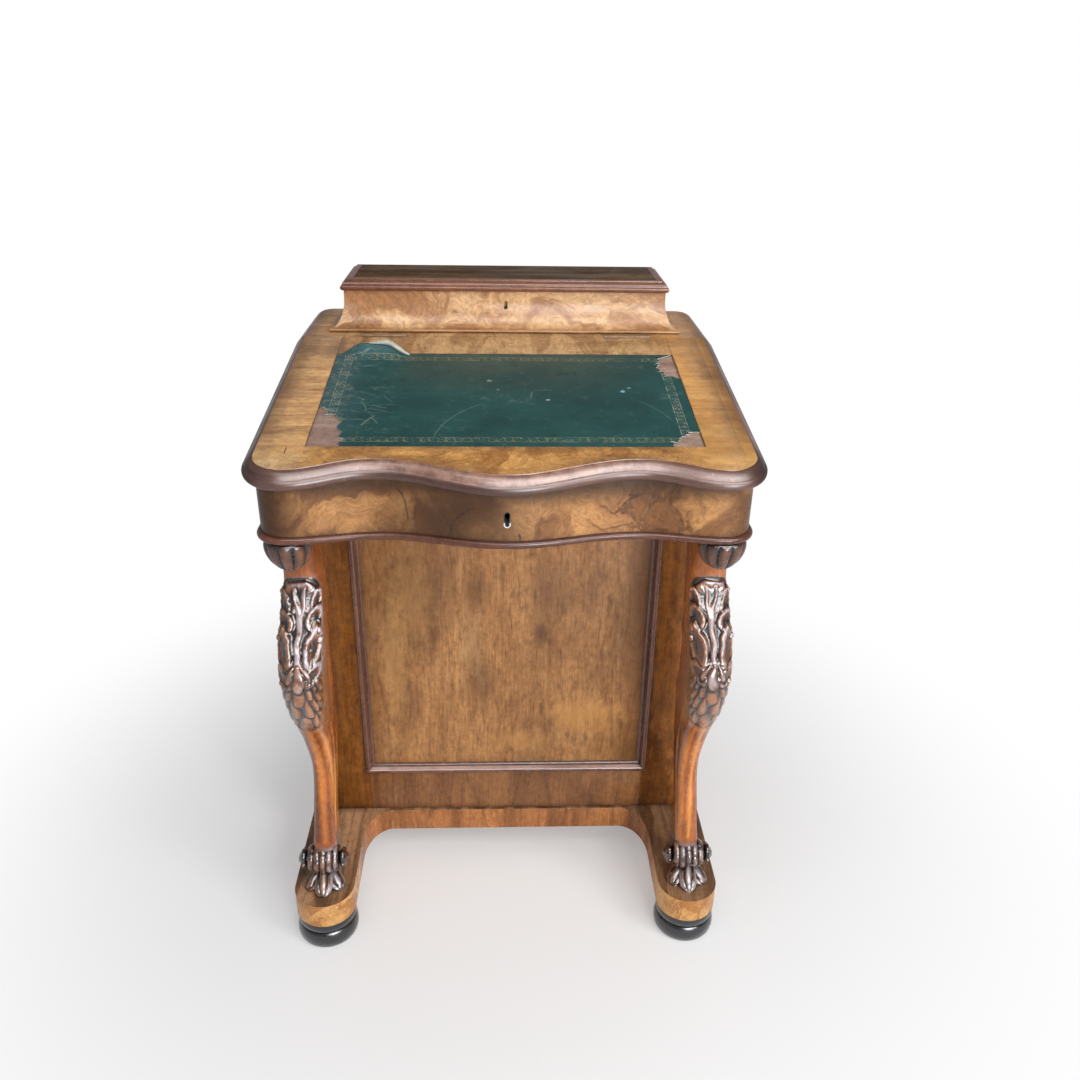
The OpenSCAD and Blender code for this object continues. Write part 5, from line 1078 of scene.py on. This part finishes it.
flecked = place.moved(Scale=(0.6, 1.4, 1)).noise(95, 6, 0.75)
hue = stained(hue, (stain, 0.55, 0.7, 0.6, (0.2, 0.08, 0.025)), (flecked, 0.54, 0.7, 0.6, (0.14, 0.05, 0.016)),
              (flecked, 0.46, 0.32, 0.3, (0.82, 0.52, 0.22)), (place.x, 0.18, 0.22, 0.4, (0.8, 0.37, 0.08)),
              (place.x, -0.2, -0.22, 0.06, (0.9, 0.8, 0.75)))
beside = (side + stain * 0.03).fade(0.25, 0.28) * place.y.fade(-0.225, -0.15)
hue = (beside * 0.7).mix(hue, (0.12, 0.045, 0.014))
seam = seam * (place.y.fade(-0.205, -0.2) * place.y.fade(0.104, 0.1))
hue = (seam * 0.5).mix(hue, (0.08, 0.03, 0.012))
crackle = (place.noise(110, 3) - 0.5) * 0.01
blot = put(out.tree, "CombineXYZ", place.x + crackle, place.y * 0.16, 0.0)[0].far_from((-0.231, -0.0339, 0))
hue = blot.fade(0.0016, 0.0008, 0, 0.85).mix(hue, (0.03, 0.014, 0.008))
# bare pine under the lost leather, pinkish and scratched, inside the bed only
sunk_by = place.z - place.y * slope
bed = side.fade(0.2122, 0.2116) * (place.y.fade(-0.2034, -0.2028) * place.y.fade(0.0474, 0.0468))
bed = bed * sunk_by.fade(0.7359, 0.7379)
raw = place.grown(grain, (0.5, 0.33, 0.25), (0.34, 0.2, 0.15), (0.2, 0.1, 0.075), 0.2, 1.0)
hue = bed.mix(hue, raw["Color"])
# the underside of the writing lid is plain walnut, its grain running across the board
inside_wood = place.moved(Location=(0.7, 0.1, 0.4)).grown(grain, (0.42, 0.2, 0.08), (0.27, 0.12, 0.045),
                                                          (0.09, 0.035, 0.013), 0.5, 1.1)
underneath = sunk_by.fade(0.7365, 0.7345) * (place.y < 0.105)
hue = underneath.mix(hue, inside_wood["Color"])
polish(out, place, hue, front_burr["Relief"], gloss=0.24, dirt=0.85, bare=0.25, coat=0.15)
eased("shelf", top_wood, 0.15)


def veneer_flat(piece, z0, climb):
    """The veneer covers the moulding's flat too: faces that lie in the top plane z0 + climb * y take its finish."""
    piece.data.materials.append(top_wood)
    centre = np.empty(len(piece.data.polygons) * 3)
    piece.data.polygons.foreach_get("center", centre)
    x, y, z = centre.reshape(-1, 3).T * 1000
    piece.data.polygons.foreach_set("material_index", (z > z0 + climb * y - 0.13).astype(np.int32))


veneer_flat(shelf_run, shelf_top, 0)

# ---- writing lid ----
# A hinged slope: veneered board, serpentine edge moulding, and a let-in panel of green
# leather with a gilt border, torn away at three corners and lifting at the fourth.
lid_outline = serpentine(half_top, hinge_line - knuckle_gap, -275, 34, 10, 45, 220, 30)
lid_top = 709 + 253 * slope
lid_run = surface("lid_moulding_run", "writing_lid", edge_wood,
                  [run_along(lid_outline, edge_section, lid_top, slope)], ["lid_moulding"], 28)
veneer_flat(lid_run, lid_top, slope)
eased("lid_board", top_wood, 0.15)


def bitten(x, y):
    """How far each point of the leather's plan lies outside the torn corners, in millimetres: below 0 is torn away."""
    ragged = (3.2 * np.sin(0.31 * x + 1.7 * np.sin(0.23 * y)) + 1.7 * np.sin(0.83 * y + 0.6 * x)
              + 0.9 * np.sin(1.9 * x - 1.1 * y))
    outside = [np.hypot(x + 222, (y + 196) / 1.85) - 45, np.hypot((x - 218) / 1.15, (y + 206) / 1.15) - 34,
               np.hypot(x - 217, (y - 8) / 1.1) - 30]
    return np.minimum.reduce(outside) + ragged


def flap_lift(x, y):
    """The lifted part of the skin's far edge: a hump along x times the square of the distance past y = 20."""
    return 13.5 * np.clip((y - 20) / 26, 0, 1) ** 2 * step_up(x, -209, -180) * step_up(-x, 121, 152)


def rolled_lip():
    """The lifted edge rolled over on itself: circles whose radius swells to 3.6 mm and dies away along the edge, the
    middle of each lying on the raised edge, with a spiral dent near the open end."""
    x = np.linspace(-172, -121, 52)[:, None]
    a = np.linspace(0, 2 * np.pi, 25)[None, :]
    t = (x + 172) / 51
    r = 0.3 + 3.6 * np.sin(np.pi * t**1.4) ** 0.7 * (1 - 0.12 * np.cos(a - 2.2))
    y = 45.5 - 3 * t + r * np.cos(a)
    z = lid_top + slope * 45.5 + flap_lift(x, 46) + 0.7 * r + r * np.sin(a) - 0.6
    return capped(rows_of(x, y, z))


def leather_sheet():
    """The skiver as a plan grid whose outer rows are pulled in to the torn edge: each ray from the middle stops where
    it meets a tear. Its height is the bed's slope plus the skin's thickness, and the far edge lifts at the left."""
    a = np.linspace(0, 2 * np.pi, 1441)[:-1]
    c, s = np.cos(a), np.sin(a)
    full = np.minimum(211.6 / np.maximum(abs(c), 1e-9), 124.6 / np.maximum(abs(s), 1e-9))
    share = np.linspace(0.6, 1, 400)[:, None]
    x, y = share * full * c, -78 + share * full * s
    kept = np.cumprod(bitten(x, y) > 0, axis=0).sum(0)
    stop = share[np.clip(kept - 1, 0, 399), 0] * full
    ray = np.linspace(0, 1, 90)[:, None] ** 0.8 * stop
    ray = np.concatenate([ray, ray[-1:]], 0)
    x, y = ray * c, -78 + ray * s
    a = np.r_[a, a[0]]
    x, y = np.c_[x, x[:, 0]], np.c_[y, y[:, 0]]
    z = lid_top + slope * y - 0.3 + flap_lift(x, y)
    z = z + 0.25 * np.sin(x / 17) * np.sin(y / 13) * 0.3
    top = rows_of(x, y, z)
    under = rows_of(x, y, z - 1.0)[::-1]
    top[-1, :, 2] -= 0.4
    under[0, :, 2] += 0.35
    return np.concatenate([top, under])


skiver_finish, out, place = new_finish("green_leather")
x, y = place.x, place.y
skin_noise = place.noise(9, 4, 0.6)
hide = skin_noise.fade(0.35, 0.65).mix((0.005, 0.054, 0.052), (0.015, 0.084, 0.077))
faded = y.fade(-0.1, 0.03) * abs(x).fade(0.19, 0.05)
hide = (faded * skin_noise.fade(0.3, 0.6, 0.3, 0.7)).mix(hide, (0.075, 0.1, 0.072))
pale_left = x.fade(-0.15, -0.2).calc("ADD", y.fade(0.005, 0.04) * x.fade(-0.09, -0.14), clamp=True)
hide = (pale_left * skin_noise.fade(0.3, 0.65, 0.15, 0.8)).mix(hide, (0.05, 0.115, 0.125))
# the gilt roll: a chain of small scrolls between two fine lines, set in from the edge, worn through in places
inset_ = least(0.212 - abs(x), 0.125 - abs(y + 0.078))
off = inset_ - 0.0165
strip = abs(off).fade(0.0046, 0.0038)
lines = abs(abs(off) - 0.0048).fade(0.0007, 0.0003)
scrolls = ((x + y) * 700.0).calc("SINE")
scrolls = abs(off - scrolls * 0.0028).fade(0.0013, 0.0005)
dots = put(out.tree, "TexVoronoi", Vector=place, Scale=330)["Distance"].fade(0.34, 0.22)
gilding = most(lines, strip * most(scrolls, dots * 0.8))
worn = place.noise(85, 5, 0.75)
gilding = gilding * worn.fade(0.42, 0.56, 0.15, 0.95)
gilt = abs(x).fade(0.185, 0.19).mix((0.26, 0.26, 0.14), (0.36, 0.36, 0.26))
hide = gilding.mix(hide, gilt)
left_tatter = x.fade(-0.176, -0.184) * worn.fade(0.5, 0.6)
hide = (left_tatter * 0.6).mix(hide, (0.2, 0.22, 0.16))
for hair_line in ((-0.080, -0.190, -0.019, -0.093, 0.014, 0.0009, 0.45),
                  (0.148, -0.085, 0.186, -0.14, 0.004, 0.0008, 0.3),
                  (-0.160, -0.155, -0.146, -0.128, 0.001, 0.0016, 0.6),
                  (-0.153, -0.1, -0.135, -0.110, -0.002, 0.0012, 0.5),
                  (0.03, -0.062, 0.056, -0.061, 0.001, 0.001, 0.35),
                  (0.029, -0.085, 0.031, -0.064, 0.001, 0.0013, 0.45),
                  (-0.17, -0.07, -0.145, -0.085, 0.003, 0.0007, 0.35),
                  (-0.168, -0.092, -0.158, -0.122, 0.003, 0.001, 0.5),
                  (-0.142, -0.075, -0.128, -0.096, -0.002, 0.0009, 0.4),
                  (-0.158, -0.112, -0.132, -0.122, 0.002, 0.0009, 0.45),
                  (-0.15, -0.135, -0.142, -0.15, 0.001, 0.0012, 0.5), (0.10, -0.2, 0.13, -0.17, 0.003, 0.0008, 0.25),
                  (-0.175, -0.12, -0.15, -0.105, -0.004, 0.0007, 0.3)):
    hide = scratch(hide, x, y, *hair_line, (0.22, 0.3, 0.24))
for px, py, r, tint in ((0.137, -0.064, 0.0046, (0.28, 0.58, 0.66)), (0.146, -0.054, 0.0034, (0.2, 0.45, 0.5)),
                        (0.048, -0.088, 0.0024, (0.5, 0.55, 0.5)), (-0.02, -0.035, 0.0026, (0.28, 0.34, 0.26)),
                        (0.005, -0.03, 0.0022, (0.2, 0.27, 0.22)), (-0.01, -0.06, 0.0022, (0.22, 0.28, 0.22))):
    spotted = put(out.tree, "CombineXYZ", x, y, 0.0)[0].far_from((px, py, 0)) + (worn - 0.5) * 0.012
    hide = stained(hide, (spotted, r, r * 0.5, 0.85, tint))
mottle = place.noise(55, 6, 0.8)
hide = stained(hide, (mottle, 0.55, 0.72, 0.5, (0.13, 0.2, 0.16)), (mottle, 0.46, 0.3, 0.65, (0.002, 0.026, 0.026)))
scuffs = place.moved(Rotation=(0, 0, 0.7), Scale=(0.35, 1.2, 1)).noise(85, 5, 0.7, 1.2)
handled = most(x.fade(-0.1, -0.17), skin_noise.fade(0.52, 0.68, 0, 0.6))
hide = (scuffs.fade(0.57, 0.68, 0, 0.6) * handled).mix(hide, (0.22, 0.31, 0.29))
grainy = put(out.tree, "TexVoronoi", Vector=place, Scale=900)["Distance"]
relief = grainy * 0.5 + place.noise(30, 5, 0.7, 1) * 1.2 - gilding * 0.7
# the cut and torn edges show the pale split of the skin
flesh = put(out.tree, "Attribute", attribute_name="carved")["Fac"]
tear = flesh.fade(0.0, 0.4) * worn.fade(0.3, 0.5, 0.6)
hide = tear.mix(hide, worn.fade(0.35, 0.65).mix((0.66, 0.64, 0.56), (0.4, 0.4, 0.33)))
skin(out, hide, relief, 0.35, 0.0004, Roughness=skin_noise.fade(0.3, 0.7, 0.4, 0.55), Coat_Weight=0.05,
     Coat_Roughness=0.25, Specular_IOR_Level=0.22)
skins = [leather_sheet(), rolled_lip()]
split_skin = np.ones(skins[0].shape[:2])
split_skin[:len(split_skin) // 2 - 1] = 0
surface("leather_skiver", "writing_lid", skiver_finish, skins, ["lid_leather"], 50,
        [split_skin, np.ones(skins[1].shape[:2])])

# ---- stationery box ----
# A shallow box on the shelf: hollow-moulded walls mitred at the front corners and veneered
# in the brightest burr, a flat lid with its own small moulding, and a keyhole in the middle.
# the box's half width, front and back, to which the hollow adds its own width
half_box, box_front, back_line = 202, 154, 250
a = np.linspace(0, np.pi / 2, 28)
b = np.linspace(-np.pi / 2, np.pi / 2, 9)
hollow = np.concatenate([
    [[0, 0], [30.2, 0]], rows_of(30.2 + 1.3 * np.cos(b), 2.1 + 1.9 * np.sin(b)),
    rows_of(12 + 18.2 * (1 - np.sin(a)), 4.2 + 37.8 * (1 - np.cos(a))), [[12, 46], [12, 50.7], [0, 50.7], [0, 0]]])
out_, height = hollow.T
x = np.stack([-half_box - out_, -half_box - out_, half_box + out_, half_box + out_])
y = np.stack([back_line + 0 * out_, box_front - out_, box_front - out_, back_line + 0 * out_])
walls = rows_of(x, y, shelf_top + height)
ends = [np.broadcast_to([s * (half_box + 6), back_line, shelf_top + 5.004], walls[0].shape)[None] for s in (-1, 1)]
box_wood, out, place = new_finish("box_burr")
ground = place.moved(Location=(0.37, 0.2, 0.1))
figure = ground.grown(burr, (0.72, 0.44, 0.22), (0.42, 0.2, 0.084), (0.13, 0.05, 0.018), 0.62, 0.8, 0.5)
lip = ground.grown(grain, (0.66, 0.36, 0.16), (0.5, 0.24, 0.09), (0.2, 0.08, 0.03), 0.2, 0.8)
hue = place.z.fade(0.7602, 0.7592).mix(figure["Color"], lip["Color"])
# a pale band painted across the hollow at mid height as a reflected sheen
sheen_band = place.moved(Scale=(1, 1, 2)).noise(8, 4, 0.65).fade(0.42, 0.62) * abs(place.z - 0.782).fade(0.012, 0.003)
hue = (sheen_band * 0.25).mix(hue, (0.75, 0.52, 0.46))
polish(out, place, hue, figure["Relief"], gloss=0.25, dirt=0.8, bare=0.3, coat=0.05)
box_walls = surface("box_walls", "desk", box_wood, [np.concatenate([ends[0], walls, ends[1]])],
                    ["stationery_front", "stationery_sides"], 32)
burrow(box_walls, [keyhole_cutter(5, 11, 788.646, 120, 160)])
eased("stationery_back", side_wood, 0.4)
eased("stationery_dividers", lining_wood, 0.4)

# the height of the lid's underside, and its half width and front over the moulding
box_lid_foot, half_box_lid, box_lid_front = 806.496, 218, 138
a = np.linspace(0, np.pi / 2, 10)
lid_section = np.concatenate([
    [[16, 0], [2.6, 0], [1.5, 0.6], [0.7, 1.6], [0.15, 2.8], [0, 4.1], [0.35, 5.3], [1.2, 6.2], [1.9, 6.5]],
    rows_of(2.2 + 5.4 * (1 - np.cos(a)), 6.7 + 5.4 * np.sin(a)),
    [[8.6, 12.5], [8.8, 13.6], [9.4, 14], [16, 14], [16, 0]]])
in_, height = lid_section.T
x = np.stack([in_ - half_box_lid, in_ - half_box_lid, half_box_lid - in_, half_box_lid - in_])
y = np.stack([back_line + 0 * in_, box_lid_front + in_, box_lid_front + in_, back_line + 0 * in_])
rim = rows_of(x, y, box_lid_foot + height)
rim_wood = walnut("box_lid_moulding", "x", (0.29, 0.115, 0.06), (0.17, 0.06, 0.032), (0.05, 0.016, 0.01), 0.25, 0.9,
                  gloss=0.22, coat=0.3, bare=0.55)
surface("box_lid_rim", "stationery_box_lid", rim_wood, [capped(rim)], ["stationery_lid_moulding"], 32)
lid_wood = walnut("box_lid_walnut", "x", (0.17, 0.095, 0.032), (0.07, 0.032, 0.011), (0.02, 0.009, 0.004), 0.4, 1.3,
                  at=(0.2, 0.6, 0.1), gloss=0.35, coat=0.0, shine=0.08)
eased("stationery_lid", lid_wood, 0.25)

# ---- inner drawers ----
# Two shallow drawers at the back of the well: burr fronts with a small turned knob, plain sides.
inner_wood, out, place = new_finish("inner_drawer_wood")
veneer = place.grown(burr, (0.5, 0.26, 0.1), (0.3, 0.14, 0.05), (0.1, 0.04, 0.015), 1.2)
plain = place.moved(Rotation=ways["y"]).grown(grain, (0.46, 0.24, 0.11), (0.32, 0.15, 0.06), (0.15, 0.06, 0.025), 0.2)
hue = place.y.fade(0.1215, 0.1225).mix(veneer["Color"], plain["Color"])
polish(out, place, hue, plain["Relief"], gloss=0.35, coat=0.2)

# ---- brass and steel ----
# Butt hinges, locks, their eyes and the keyhole liner in old lacquered brass; filed steel bolts.


def metal(name, colour, tarnish, gloss, bright=1.0):
    """Filed and handled metal: fine scratches one way, tarnish in clouds, and tarnish and painted shade in the
    corners.
    """
    made, out, place = new_finish(name)
    lived_and_shaded = place.grown(grime_and_shade, 0.004)
    filed = place.moved(Scale=(0.1, 1, 1)).noise(2600, 2)
    cloud = place.noise(90, 5, 0.7)
    hue = cloud.fade(0.4, 0.65, 0.1, 0.75).mix(colour, tarnish)
    hue = (lived_and_shaded["Dirt_and_shade"] * 0.7).mix(hue, (0.03, 0.02, 0.012))
    face = skin(out, hue, filed, 0.15, 0.0001, Metallic=bright, Roughness=cloud.fade(0.3, 0.7, gloss, gloss + 0.2))
    return made, place, hue, face


old_brass = metal("old_brass", (0.6, 0.42, 0.18), (0.24, 0.15, 0.06), 0.3)[0]
brown_brass = metal("brown_brass", (0.27, 0.15, 0.065), (0.16, 0.085, 0.035), 0.5, 0.2)[0]
filed_steel = metal("filed_steel", (0.5, 0.49, 0.47), (0.2, 0.17, 0.15), 0.3)[0]
# the keyhole's brass lining is blackened, and rubbed silvery by the key at its lower end
black_brass, place, hue, face = metal("blackened_liner", (0.1, 0.075, 0.05), (0.03, 0.02, 0.014), 0.35)
face["Base Color"] = place.z.fade(0.6505, 0.649).mix(hue, (0.62, 0.6, 0.62))
for finish, nodes in (
        (brown_brass, ("lid_hinge_shelf_leaves", "lid_hinge_lid_leaves")),
        (old_brass, ("stationery_hinge_box_leaves", "stationery_hinge_lid_leaves", "frieze_lock", "stationery_lock",
                     "lid_link_plate", "stationery_link_plate")),
        (black_brass, ("frieze_keyhole_liner",)), (filed_steel, ("frieze_lock_bolt", "stationery_lock_bolt"))):
    for node in nodes:
        held = frame["nodes"][node]
        if not held.material_slots:
            held.data.materials.append(finish)
        for socket in held.material_slots:
            socket.material = finish
for node in ("inner_drawer_left", "inner_drawer_right"):
    eased(node, inner_wood, 0.4)
